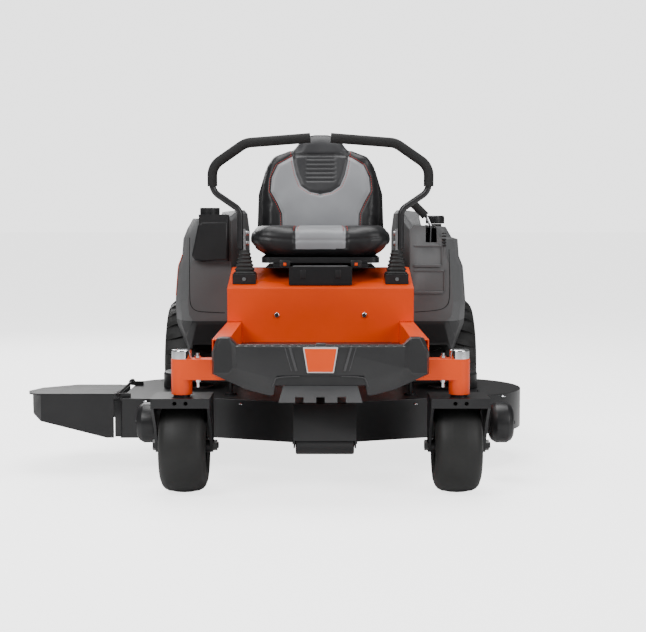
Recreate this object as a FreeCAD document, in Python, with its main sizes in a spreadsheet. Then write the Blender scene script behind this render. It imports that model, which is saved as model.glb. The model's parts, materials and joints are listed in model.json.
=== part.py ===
import FreeCAD, Part

"""Zero turn riding mower with a side-discharge cutting deck.

Working frame of every formula below: x from the mower's centre plane towards the operator's left hand,
y backwards from the line through the front caster axles, z up from the ground, all in millimetres.
Each finished sub-part is a compound whose Placement shifts that frame so that the origin of the document
is on the ground, below the middle of the machine's bounding box. -Y is the front of the mower.
"""

import os
import re

import Sketcher
from FreeCAD import Placement, Rotation, Vector

doc = FreeCAD.newDocument("zero_turn_mower")
sheet = doc.addObject("Spreadsheet::Sheet", "sizes")

# ---------------------------------------------------------------------------------------------------------
# Driving dimensions: name, value, what it is
# ---------------------------------------------------------------------------------------------------------
SIZES = [
    ("wheelbase", 1250, "caster axles to drive axles"),
    ("rear_reach", 1740, "caster axles to the back of the engine guard"),
    ("front_reach", 190, "caster axles to the front edge of the step"),
    ("running_gap", 0.06, "radial clearance of a shaft in its bearing"),
    ("slip_gap", 0.5, "side clearance between parts that move past each other"),
    ("seat_gap", 1, "clearance between stacked parts that are not welded"),
    # front casters
    ("caster_x", 404, "centre plane to a caster"),
    ("caster_r", 140, "caster tyre radius"),
    ("caster_w", 138, "caster tyre width"),
    ("caster_rim_r", 64, "caster rim radius"),
    ("caster_rim_w", 112, "caster rim width"),
    ("caster_trail", 75, "swivel axis ahead of the axle"),
    ("caster_axle_r", 9.5, "caster axle bolt radius"),
    ("caster_hub_r", 22, "caster hub tube radius"),
    ("fork_wall", 8, "fork plate thickness"),
    ("fork_side_gap", 8, "tyre side to fork leg"),
    ("fork_top_gap", 8, "tyre top to fork crown"),
    ("fork_lip", 28, "depth of the crown's front lip"),
    ("swivel_r", 16, "swivel spindle radius"),
    ("bush_wall", 3, "swivel bush wall"),
    ("bush_len", 25, "swivel bush length"),
    ("barrel_wall", 11.5, "wall of the caster barrel"),
    ("barrel_len", 104, "length of the caster barrel"),
    ("cap_len", 27, "height of the barrel cap"),
    ("beam_bolt_x", 357, "centre plane to the bolts through the front beam"),
    # frame
    ("beam_size", 60, "side of the square front beam"),
    ("tube_wall", 4, "wall of the frame tubes"),
    ("rail_x", 293, "centre plane to a frame rail"),
    ("rail_w", 50, "rail width"),
    ("rail_height", 75, "rail height"),
    ("rail_base", 385, "ground to the rails' underside"),
    ("rail_back", 1600, "caster axles to the rails' rear end"),
    ("cross_size", 50, "side of a cross member"),
    ("engine_plate", 6, "engine plate thickness"),
    # floor and front cover
    ("floor_z", 386, "ground to the floor pan's underside"),
    ("floor_wall", 4, "floor pan thickness"),
    ("floor_rise", 48, "rise of the foot rest at the front"),
    ("floor_flat_y", 60, "where the foot rest begins to rise"),
    ("riser_y", 600, "caster axles to the front panel's face"),
    ("riser_top", 575, "ground to the front panel's top edge"),
    ("panel_half", 317, "half width of the body panel"),
    ("panel_wall", 3, "sheet thickness of the body panel"),
    ("panel_bolt_x", 149, "centre plane to the bolts on the body panel's front"),
    ("panel_bolt_z", 484, "ground to the bolts on the body panel's front"),
    ("console_run", 260, "length of the sloping top"),
    ("console_rise", 60, "rise of the sloping top"),
    ("panel_back", 915, "caster axles to the body panel's rear edge"),
    ("bumper_depth", 57, "depth of the front cover"),
    ("bumper_wall", 4, "wall of the front cover"),
    ("bumper_bevel_w", 9, "bevel round the front cover's face"),
    ("bumper_half", 311, "half width of the front cover"),
    ("bumper_top", 450, "ground to the front cover's top edge"),
    ("horn_rise", 25, "height of the cover's horns above its edge"),
    ("horn_w", 76, "width of a horn"),
    ("bumper_base", 302, "ground to the front cover's lower edge"),
    ("step_half", 119, "half width of the step's front edge"),
    ("step_len", 58, "length of the step plate"),
    ("step_wall", 3, "thickness of the step plate"),
    ("badge_wall", 3, "thickness of the plain badge on the front cover"),
    ("mat_wall", 3, "thickness of the foot mat"),
    # fenders
    ("fender_front", 880, "caster axles to a fender's front face"),
    ("fender_back", 1500, "caster axles to a fender's rear face"),
    ("fender_base", 337, "ground to a fender's lower front edge"),
    ("fender_wall", 6, "fender wall"),
    ("fender_inner", 322, "centre plane to a fender's inner face beside the rail"),
    ("fender_outer", 536, "centre plane to a fender's widest point"),
    ("fender_top_left", 784, "ground to the top of the fender at the operator's left"),
    ("fender_top_right", 814, "ground to the top of the fender at the operator's right"),
    ("fender_hump", 842, "ground to the top of a fender's hump beside the seat"),
    ("hump_inner", 286, "centre plane to the hump's inner face"),
    ("hump_outer", 362, "centre plane to the hump's outer face"),
    ("fender_drop", 70, "fall of the fender's top at its rear"),
    ("wheel_gap", 34, "drive tyre to wheel arch"),
    # drive wheels
    ("drive_x", 458, "centre plane to a drive wheel"),
    ("drive_r", 254, "drive tyre radius"),
    ("drive_w", 254, "drive tyre width"),
    ("drive_rim_r", 102, "drive rim radius"),
    ("drive_rim_w", 216, "drive rim width"),
    ("drive_axle_r", 15, "drive axle radius"),
    ("lug_circle", 101.6, "circle of the wheel nuts"),
    ("lug_r", 10, "wheel nut radius"),
    # transaxles and engine
    ("transaxle_x", 205, "centre plane to a transaxle"),
    ("transaxle_w", 110, "transaxle width"),
    ("transaxle_len", 230, "transaxle length"),
    ("transaxle_high", 190, "transaxle height"),
    ("engine_y", 1500, "caster axles to the crankshaft"),
    ("engine_case", 300, "side of the crankcase"),
    ("engine_case_high", 150, "crankcase height"),
    ("shroud_r", 185, "cooling shroud radius"),
    ("shroud_high", 130, "cooling shroud height"),
    ("crank_r", 14, "crankshaft radius"),
    ("crank_pulley_r", 70, "belt pulley radius on the crankshaft"),
    ("guard_r", 16, "engine guard tube radius"),
    ("hitch_hole_r", 9.5, "hitch hole radius"),
    ("hitch_wall", 8, "hitch plate thickness"),
    # seat
    ("seat_hinge_y", 655, "caster axles to the seat hinge"),
    ("seat_hinge_z", 642, "ground to the seat hinge"),
    ("seat_plate_half", 190, "half width of the seat plate"),
    ("seat_plate_len", 400, "length of the seat plate"),
    ("seat_plate_wall", 4, "seat plate thickness"),
    ("slide_high", 12, "height of a seat slide"),
    ("shell_wall", 20, "height of the seat shell's base"),
    ("cushion_half", 247, "half width of the seat cushion"),
    ("cushion_len", 375, "length of the seat cushion"),
    ("cushion_high", 108, "height of the seat cushion"),
    ("cushion_tuck", 36, "how far the cushion draws in at its foot"),
    ("back_half", 234, "half width of the backrest"),
    ("back_high", 428, "height of the backrest along its lean"),
    ("back_thick", 95, "thickness of the backrest"),
    ("back_lean", 9, "lean of the backrest in degrees"),
    ("back_shell", 8, "thickness of the seat shell's back"),
    # control levers
    ("lever_x", 262, "centre plane to a control lever"),
    ("lever_y", 690, "caster axles to the control lever pivots"),
    ("lever_z", 560, "ground to the control lever pivots"),
    ("lever_base_half", 40, "half side of a lever base"),
    ("lever_base_top", 621, "ground to the top of a lever base"),
    ("lever_slot_half", 34, "half side of the slot in a lever base"),
    ("boot_high", 82, "height of a lever boot"),
    ("arm_wall", 8, "control arm thickness"),
    ("arm_w", 25, "control arm width"),
    ("arm_top", 775, "ground to the top of the control arm"),
    ("bar_r", 11, "lap bar tube radius"),
    ("grip_r", 17, "lap bar grip radius"),
    ("bar_top", 1086, "ground to the lap bars at the centre"),
    ("bar_end_gap", 38, "centre plane to the lap bar's end"),
    ("bar_reach", 372, "centre plane to the lap bar's widest point"),
    # cutting deck
    ("spindle_x", 430, "centre plane to an outer blade spindle"),
    ("spindle_y", 610, "caster axles to the outer spindles"),
    ("spindle_step", 160, "centre spindle ahead of the outer ones"),
    ("blade_r", 228.5, "blade radius"),
    ("blade_tip_gap", 18.5, "blade tip to deck wall"),
    ("blade_w", 64, "blade width"),
    ("blade_wall", 6, "blade thickness"),
    ("blade_z", 143, "ground to the blades"),
    ("deck_wall", 4, "deck plate thickness"),
    ("deck_base", 111, "ground to the deck's lower edge, raised"),
    ("deck_depth", 127, "deck depth"),
    ("deck_trim_x", 640, "centre plane to the deck's discharge edge"),
    ("housing_r", 30, "spindle housing radius"),
    ("housing_flange_r", 62, "spindle housing flange radius"),
    ("spindle_r", 12.5, "spindle shaft radius"),
    ("pulley_r", 72, "spindle pulley radius"),
    ("pulley_w", 20, "pulley width"),
    ("pulley_z", 264, "ground to the belt pulleys' underside"),
    ("belt_w", 12, "belt width"),
    ("belt_high", 9, "belt height"),
    ("cover_r", 105, "belt cover radius"),
    ("deck_box_front", 300, "caster axles to the front of the deck's discharge box"),
    ("deck_drop", 64, "travel of the deck from raised to lowest cut"),
    ("hanger_r", 6, "deck hanger rod radius"),
    ("hanger_front_y", 400, "caster axles to the front hangers"),
    ("hanger_rear_y", 800, "caster axles to the rear hangers"),
    ("chute_tip", 955, "centre plane to the chute's outer rim"),
    ("chute_lip", 12, "width of the chute's rim"),
    ("chute_len", 390, "chute length"),
    ("chute_top", 256, "ground to the chute's top at its front"),
    ("chute_fall", 22, "fall of the chute's top to its rear"),
    ("chute_wall", 5, "chute wall"),
    ("chute_hinge_gap", 13, "deck's discharge edge to the chute's hinge"),
    ("chute_hinge_z", 247, "ground to the chute's hinge"),
    ("chute_rod_r", 5, "chute hinge rod radius"),
    ("chute_eye_r", 6.5, "radius of the eyes that hold the chute's hinge rod"),
    ("roller_r", 63, "anti-scalp roller radius"),
    ("roller_w", 72, "anti-scalp roller width"),
    ("roller_y", 220, "caster axles to the outer rollers"),
    ("roller_z", 174, "ground to the outer rollers' axle"),
    ("roller_left_x", 566, "centre plane to the roller at the operator's left"),
    ("roller_right_x", 536, "centre plane to the roller at the operator's right"),
    ("nose_x", 13, "centre plane to the middle of the front centre roller"),
    ("nose_roller_half", 88, "half width of the front centre roller"),
    ("nose_roller_r", 36, "front centre roller radius"),
    ("nose_roller_y", 48, "caster axles to the front centre roller"),
    ("nose_guard_y", 5, "caster axles to the guard ahead of the centre roller"),
    ("nose_wall", 4, "thickness of the guard and its cheeks"),
    ("roller_axle_r", 6, "roller axle radius"),
    # operator's small controls
    ("cap_r", 34, "fuel cap radius"),
    ("cap_high", 30, "fuel cap height"),
    ("cap_x", 428, "centre plane to the fuel cap"),
    ("cap_y", 1080, "caster axles to the fuel cap"),
    ("console_x", 381, "centre plane to the middle of the control console"),
    ("console_half", 54, "half width of the control console"),
    ("console_front", 850, "caster axles to the control console's front"),
    ("console_base", 658, "ground to the control console's foot"),
    ("console_lid", 8, "thickness of the control console's top"),
    ("pod_x", 400, "centre plane to the blade switch"),
    ("pod_y", 922, "caster axles to the blade switch"),
    ("pod_r", 35, "radius of the ring round the blade switch"),
    ("pod_high", 24, "height of the ring round the blade switch"),
    ("knob_r", 22, "blade switch knob radius"),
    ("knob_stem_r", 6, "blade switch stem radius"),
    ("knob_travel", 8, "how far the blade switch pulls up"),
    ("battery_half", 98, "half width of the battery"),
    ("battery_len", 130, "battery length"),
    ("battery_high", 160, "battery height"),
    ("lift_x", 398, "centre plane to the deck lift lever"),
    ("lift_y", 925, "caster axles to the deck lift lever's pivot"),
    ("lift_z", 690, "ground to the deck lift lever's pivot"),
    ("lift_rod_r", 6, "deck lift lever rod radius"),
    ("lift_grip_r", 15, "deck lift lever grip radius"),
    ("lift_slot_w", 40, "width of the lift lever's slot in the fender"),
]

# Sizes that follow from the driving ones; a formula may use any name above it.
DERIVED = [
    ("lobe_r", "blade_r + blade_tip_gap + deck_wall"),
    ("deck_half", "spindle_x + lobe_r"),
    ("chute_hinge_x", "deck_trim_x + chute_hinge_gap"),
    ("chute_front", "deck_box_front - chute_wall - 3"),
    ("frame_x", "(chute_tip - deck_half) / 2"),
    ("frame_y", "-(rear_reach - front_reach) / 2"),
    ("deck_top", "deck_base + deck_depth"),
    ("spindle_run", "sqrt(spindle_x * spindle_x + spindle_step * spindle_step)"),
    ("fork_inner", "caster_w / 2 + fork_side_gap"),
    ("fork_outer", "fork_inner + fork_wall"),
    ("crown_z", "caster_r * 2 + fork_top_gap"),
    ("crown_top", "crown_z + fork_wall"),
    ("barrel_z", "crown_top + 7"),
    ("barrel_top", "barrel_z + barrel_len"),
    ("bush_r", "swivel_r + running_gap + bush_wall"),
    ("barrel_r", "bush_r + barrel_wall"),
    ("beam_z", "barrel_top - beam_size"),
    ("rail_front", "beam_size / 2 - caster_trail"),
    ("rail_top", "rail_base + rail_height"),
    ("rail_inner", "rail_x - rail_w / 2"),
    ("floor_half", "rail_inner"),
    ("bumper_back", "-caster_trail - beam_size / 2 - seat_gap"),
    ("bumper_face", "bumper_back - bumper_depth"),
    ("console_top", "riser_top + console_rise"),
    ("arch_r", "drive_r + wheel_gap"),
    ("seat_plate_z", "seat_hinge_z - seat_plate_wall / 2"),
    ("shell_z", "seat_plate_z + seat_plate_wall + slide_high + seat_gap"),
    ("cushion_z", "shell_z + shell_wall + seat_gap"),
    ("cushion_y", "seat_hinge_y + 22"),
    ("back_y", "cushion_y + cushion_len + 6"),
    ("boot_top", "lever_base_top + boot_high"),
    ("engine_z", "rail_top + engine_plate"),
    ("shroud_z", "engine_z + engine_case_high"),
    ("hub_face", "drive_x - 60"),
]

NAMES = {name for name, _, _ in SIZES}
FORMULAS = dict(DERIVED)
for row, (name, number, note) in enumerate(SIZES, 1):
    sheet.set(f"A{row}", name)
    sheet.set(f"B{row}", str(number))
    sheet.setAlias(f"B{row}", name)
    sheet.set(f"C{row}", note)
doc.recompute()


def bound(formula):
    """A formula with each derived name spelled out and each driving name read from the sheet."""
    text = str(formula)
    while any(word in FORMULAS for word in re.findall(r"[A-Za-z_]\w*", text)):
        text = re.sub(
            r"[A-Za-z_]\w*",
            lambda m: f"({FORMULAS[m.group()]})" if m.group() in FORMULAS else m.group(),
            text,
        )
    return re.sub(
        r"[A-Za-z_]\w*", lambda m: f"sizes.{m.group()}" if m.group() in NAMES else m.group(), text
    )


def mm(formula):
    """The number that a formula gives now."""
    return float(sheet.evalExpression(bound(formula)))


# ---------------------------------------------------------------------------------------------------------
# Small building functions: each returns a document object bound to the sheet
# ---------------------------------------------------------------------------------------------------------
TURNS = {
    "Z": Rotation(),
    "X": Rotation(Vector(0, 1, 0), 90),
    "Y": Rotation(Vector(1, 0, 0), -90),
}
# The sketch's axes in the working frame: XY lies flat, YZ is a side view, XZ is a front view.
PLANES = {
    "XY": Rotation(),
    "YZ": Rotation(Vector(0, 1, 0), Vector(0, 0, 1), Vector(1, 0, 0), "ZXY"),
    "XZ": Rotation(Vector(1, 0, 0), Vector(0, 0, 1), Vector(0, -1, 0), "ZXY"),
}


def bind(item, **formulas):
    """Binds properties of a document object to the sheet."""
    for name, formula in formulas.items():
        item.setExpression(name, bound(formula))
    return item


def put(item, at, turn=None):
    """Places a document object at a point given by three formulas."""
    item.Placement = Placement(Vector(), turn or Rotation())
    for axis, formula in zip("xyz", at):
        item.setExpression(f"Placement.Base.{axis}", bound(formula))
    return item


def box(name, size, at):
    """A block from its lowest corner."""
    item = doc.addObject("Part::Box", name)
    bind(item, Length=size[0], Width=size[1], Height=size[2])
    return put(item, at)


def block(name, x, y, z):
    """A block between two values along each axis."""
    size = [f"({high}) - ({low})" for low, high in (x, y, z)]
    return box(name, size, [x[0], y[0], z[0]])


def rod(name, radius, length, at, axis="Z"):
    """A cylinder from the middle of its first end."""
    item = doc.addObject("Part::Cylinder", name)
    bind(item, Radius=radius, Height=length)
    return put(item, at, TURNS[axis])


def cone(name, radius, top_radius, length, at, axis="Z"):
    """A truncated cone from the middle of its first end."""
    item = doc.addObject("Part::Cone", name)
    bind(item, Radius1=radius, Radius2=top_radius, Height=length)
    return put(item, at, TURNS[axis])


def hexagon(name, radius, length, at, axis="Z"):
    """A hexagonal nut or bolt head from the middle of its first end."""
    item = doc.addObject("Part::Prism", name)
    item.Polygon = 6
    bind(item, Circumradius=radius, Height=length)
    return put(item, at, TURNS[axis])


def ring(name, radius, bore, length, at, axis="Z"):
    """A plain bush."""
    return cut(
        name, rod(f"{name}_body", radius, length, at, axis), rod(f"{name}_bore", bore, length, at, axis)
    )


def fuse(name, *items):
    """One solid from several that touch."""
    item = doc.addObject("Part::MultiFuse", name)
    item.Shapes = list(items)
    return item


def common(name, *items):
    """The solid that several have in common."""
    item = doc.addObject("Part::MultiCommon", name)
    item.Shapes = list(items)
    return item


def cut(name, base, *tools):
    """A solid less one or more others."""
    item = doc.addObject("Part::Cut", name)
    item.Base = base
    item.Tool = tools[0] if len(tools) == 1 else fuse(f"{name}_tools", *tools)
    return item


def rounded(name, base, radius, pick):
    """Rounds the edges of a solid that pick(edge) chooses."""
    doc.recompute()
    chosen = [i for i, edge in enumerate(base.Shape.Edges, 1) if pick(edge)]
    item = doc.addObject("Part::Fillet", name)
    item.Base = base
    item.Edges = [(i, mm(radius), mm(radius)) for i in chosen]
    return item


def upright(edge):
    """True for an edge along z."""
    return abs(edge.tangentAt(edge.FirstParameter).z) > 0.999


def sketch_outline(body, name, outline):
    """A closed sketch on the body's XY plane, each corner bound to the sheet by its two formulas."""
    sketch = body.newObject("Sketcher::SketchObject", f"{name}_outline")
    plane = next(f for f in body.Origin.OriginFeatures if f.Role == "XY_Plane")
    sketch.AttachmentSupport = (plane, [""])
    sketch.MapMode = "FlatFace"
    corners = [(mm(u), mm(v)) for u, v in outline]
    count = len(corners)
    for i in range(count):
        start = Vector(*corners[i], 0)
        end = Vector(*corners[(i + 1) % count], 0)
        sketch.addGeometry(Part.LineSegment(start, end), False)
    for i in range(count):
        sketch.addConstraint(Sketcher.Constraint("Coincident", i, 2, (i + 1) % count, 1))
    for i, (u, v) in enumerate(outline):
        for kind, formula, number in (("DistanceX", u, corners[i][0]), ("DistanceY", v, corners[i][1])):
            index = sketch.addConstraint(Sketcher.Constraint(kind, -1, 1, i, 1, number))
            sketch.setExpression(f"Constraints[{index}]", bound(formula))
    return sketch


def plate(name, outline, thickness, plane="XY", at=("0", "0", "0"), turn=None):
    """A PartDesign body: an outline padded by a thickness along the plane's normal."""
    body = doc.addObject("PartDesign::Body", name)
    sketch = sketch_outline(body, name, outline)
    pad = body.newObject("PartDesign::Pad", f"{name}_pad")
    pad.Profile = sketch
    bind(pad, Length=thickness)
    return put(body, at, turn or PLANES[plane])


def front_plate(name, outline, thickness, face_y):
    """A plate seen from the front, between face_y and face_y + thickness."""
    return plate(name, outline, thickness, "XZ", ("0", f"({face_y}) + ({thickness})", "0"))


def side_plate(name, outline, thickness, face_x):
    """A plate seen from the side, between face_x and face_x + thickness."""
    return plate(name, outline, thickness, "YZ", (face_x, "0", "0"))


def turned(name, outline, at, axis="Z"):
    """A PartDesign body: an outline of (along the axis, radius) pairs, turned round the axis."""
    body = doc.addObject("PartDesign::Body", name)
    sketch = sketch_outline(body, name, outline)
    turn = body.newObject("PartDesign::Revolution", f"{name}_turn")
    turn.Profile = sketch
    turn.ReferenceAxis = (sketch, ["H_Axis"])
    turn.Angle = 360
    along = {"X": Rotation(), "Y": Rotation(Vector(0, 0, 1), 90), "Z": Rotation(Vector(0, 1, 0), -90)}
    return put(body, at, along[axis])


def mirrored_outline(half):
    """An outline symmetric about x = 0 from the points of its positive half, in order."""
    return list(half) + [(f"-({x})", z) for x, z in reversed(half)]


def sweep(name, points, radius, bend, profile=None, closed=False):
    """A tube or bar along straight runs joined by tangent arcs; each point is three numbers."""
    corners = [Vector(*p) for p in points]
    count = len(corners)
    edges = []
    inner = range(count) if closed else range(1, count - 1)
    ends = {}
    for i in inner:
        here, before, after = corners[i], corners[i - 1], corners[(i + 1) % count]
        back = (before - here).normalize()
        ahead = (after - here).normalize()
        half = back.getAngle(ahead) / 2
        reach = min(
            bend[i] if isinstance(bend, (list, tuple)) else bend,
            0.48 * min((before - here).Length, (after - here).Length) * _tan(half),
        )
        away = reach / _tan(half)
        middle = (back + ahead).normalize() * (reach / _sin(half) - reach)
        ends[i] = (here + back * away, here + middle, here + ahead * away)
    start = corners[0] if not closed else ends[0][2]
    order = list(inner) if not closed else list(range(1, count)) + [0]
    for i in order:
        arc_start, arc_middle, arc_end = ends[i]
        edges.append(Part.LineSegment(start, arc_start).toShape())
        edges.append(Part.Arc(arc_start, arc_middle, arc_end).toShape())
        start = arc_end
    if not closed:
        edges.append(Part.LineSegment(start, corners[-1]).toShape())
    path = Part.Wire(edges)
    first = edges[0]
    origin = first.valueAt(first.FirstParameter)
    direction = first.tangentAt(first.FirstParameter)
    if profile is None:
        section = Part.Wire(Part.Circle(origin, direction, radius).toShape())
    else:
        across = direction.cross(Vector(0, 0, 1)).normalize()
        wide, high = profile[0] / 2, profile[1] / 2
        up = Vector(0, 0, 1)
        loop = [
            origin + across * (wide * a) + up * (high * b)
            for a, b in ((-1, -1), (1, -1), (1, 1), (-1, 1), (-1, -1))
        ]
        section = Part.makePolygon(loop)
    item = doc.addObject("Part::Feature", name)
    item.Shape = path.makePipeShell([section], True, profile is not None)
    return item


def _asin(value):
    return float(sheet.evalExpression(f"asin({value}) / 1 deg"))


def _sin(angle):
    return float(sheet.evalExpression(f"sin({angle} rad)"))


def _tan(angle):
    return float(sheet.evalExpression(f"tan({angle} rad)"))


def loft(name, sections):
    """A solid through flat sections; each section is a list of three-number points."""
    wires = [Part.makePolygon([Vector(*p) for p in points + points[:1]]) for points in sections]
    item = doc.addObject("Part::Feature", name)
    item.Shape = Part.makeLoft(wires, True, True)
    return item


NODES = []


def node(name, *items):
    """A finished sub-part: its solids in one compound, shifted into the document's frame."""
    item = doc.addObject("Part::Compound", f"node_{name}")
    item.Label = name
    item.Links = list(items)
    put(item, ("frame_x", "frame_y", "0"))
    NODES.append(item)
    return item


SIDES = (("left", 1), ("right", -1))


# ---------------------------------------------------------------------------------------------------------
# Frame: two rails, cross members, the front beam with its caster barrels
# ---------------------------------------------------------------------------------------------------------
def make_frame():
    parts = []
    bridge_y = ("wheelbase - 60", "wheelbase + 60")
    for side, s in SIDES:
        low, high = f"{s} * rail_x - rail_w / 2", f"{s} * rail_x + rail_w / 2"
        outer = block(
            f"rail_{side}_outer", (low, high), ("rail_front", "rail_back"), ("rail_base", "rail_top")
        )
        hollow = block(
            f"rail_{side}_hollow",
            (f"{low} + tube_wall", f"{high} - tube_wall"),
            ("rail_front", "rail_back"),
            ("rail_base + tube_wall", "rail_top - tube_wall"),
        )
        guides = [
            rod(
                f"rail_{side}_guide_{i}",
                "hanger_r + slip_gap",
                "tube_wall",
                (f"{s} * rail_x", y, "rail_base"),
            )
            for i, y in enumerate(("hanger_front_y", "hanger_rear_y"))
        ]
        parts.append(cut(f"rail_{side}", outer, hollow, *guides))
        inner = f"{s} * (rail_x + transaxle_x - transaxle_w / 2 + rail_w / 2) / 2"
        half = "(rail_x + rail_w / 2 - transaxle_x + transaxle_w / 2) / 2"
        parts.append(
            block(
                f"transaxle_bridge_{side}",
                (f"{inner} - {half}", f"{inner} + {half}"),
                bridge_y,
                ("rail_base - tube_wall", "rail_base"),
            )
        )
        spacer = f"{s} * (fender_inner + rail_x + rail_w / 2) / 2"
        half = "(fender_inner - rail_x - rail_w / 2) / 2"
        for i, y in enumerate(("fender_front + 20", "fender_back - 60")):
            parts.append(
                block(
                    f"fender_spacer_{side}_{i}",
                    (f"{spacer} - {half}", f"{spacer} + {half}"),
                    (y, f"{y} + 40"),
                    ("rail_base + 15", "rail_top - 15"),
                )
            )
    for i, y in enumerate(("riser_y + 20", "panel_back + 85", "rail_back - cross_size")):
        outer = block(
            f"cross_{i}_outer",
            ("-rail_inner", "rail_inner"),
            (y, f"{y} + cross_size"),
            ("rail_base", "rail_base + cross_size"),
        )
        hollow = block(
            f"cross_{i}_hollow",
            ("-rail_inner", "rail_inner"),
            (f"{y} + tube_wall", f"{y} + cross_size - tube_wall"),
            ("rail_base + tube_wall", "rail_base + cross_size - tube_wall"),
        )
        parts.append(cut(f"cross_{i}", outer, hollow))
    deck = block(
        "engine_plate_blank",
        ("-rail_x - rail_w / 2", "rail_x + rail_w / 2"),
        ("engine_y - 180", "rail_back"),
        ("rail_top", "engine_z"),
    )
    hole = rod("engine_plate_hole", "crank_pulley_r / 2", "engine_plate", ("0", "engine_y", "rail_top"))
    parts.append(cut("engine_plate_plate", deck, hole))
    node("main_frame", *parts)


def make_front_beam():
    y = "-caster_trail"
    beam = block(
        "beam_outer",
        ("-caster_x", "caster_x"),
        (f"{y} - beam_size / 2", f"{y} + beam_size / 2"),
        ("beam_z", "beam_z + beam_size"),
    )
    hollow = block(
        "beam_hollow",
        ("-caster_x + barrel_r + 4", "caster_x - barrel_r - 4"),
        (f"{y} - beam_size / 2 + tube_wall", f"{y} + beam_size / 2 - tube_wall"),
        ("beam_z + tube_wall", "beam_z + beam_size - tube_wall"),
    )
    ends = [
        block(
            f"beam_end_{side}",
            (f"{s} * (caster_x + 40) - 40", f"{s} * (caster_x + 40) + 40"),
            (f"{y} - beam_size", f"{y} + beam_size"),
            ("beam_z - 1", "beam_z + beam_size + 1"),
        )
        for side, s in SIDES
    ]
    arm = cut("beam_arm", beam, hollow, *ends)
    barrels = [
        rod(f"barrel_{side}", "barrel_r", "barrel_len", (f"{s} * caster_x", y, "barrel_z"))
        for side, s in SIDES
    ]
    bores = [
        rod(f"barrel_bore_{side}", "bush_r", "barrel_len", (f"{s} * caster_x", y, "barrel_z"))
        for side, s in SIDES
    ]
    holes = [
        rod(f"beam_bolt_hole_{side}", "5 + slip_gap", "beam_size", (f"{s} * beam_bolt_x", y, "beam_z"))
        for side, s in SIDES
    ]
    node("front_axle_beam", cut("front_beam", fuse("front_beam_welded", arm, *barrels), *bores, *holes))
    bushes = []
    caps = []
    for side, s in SIDES:
        at = (f"{s} * caster_x", y)
        for place, z in (("low", "barrel_z"), ("high", "barrel_top - bush_len")):
            bushes.append(
                ring(f"bush_{side}_{place}", "bush_r", "swivel_r + running_gap", "bush_len", (*at, z))
            )
        shell = rod(f"cap_{side}_shell", "barrel_r - 2", "cap_len", (*at, "barrel_top"))
        cup = rounded(
            f"cap_{side}_round",
            shell,
            "5",
            lambda e: e.BoundBox.ZMin > mm("barrel_top") + 5 and not upright(e),
        )
        inside = rod(f"cap_{side}_inside", "bush_r + 4", "cap_len - 4", (*at, "barrel_top"))
        caps.append(cut(f"cap_{side}", cup, inside))
    node("caster_bushes", *bushes)
    node("caster_caps", *caps)


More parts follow.
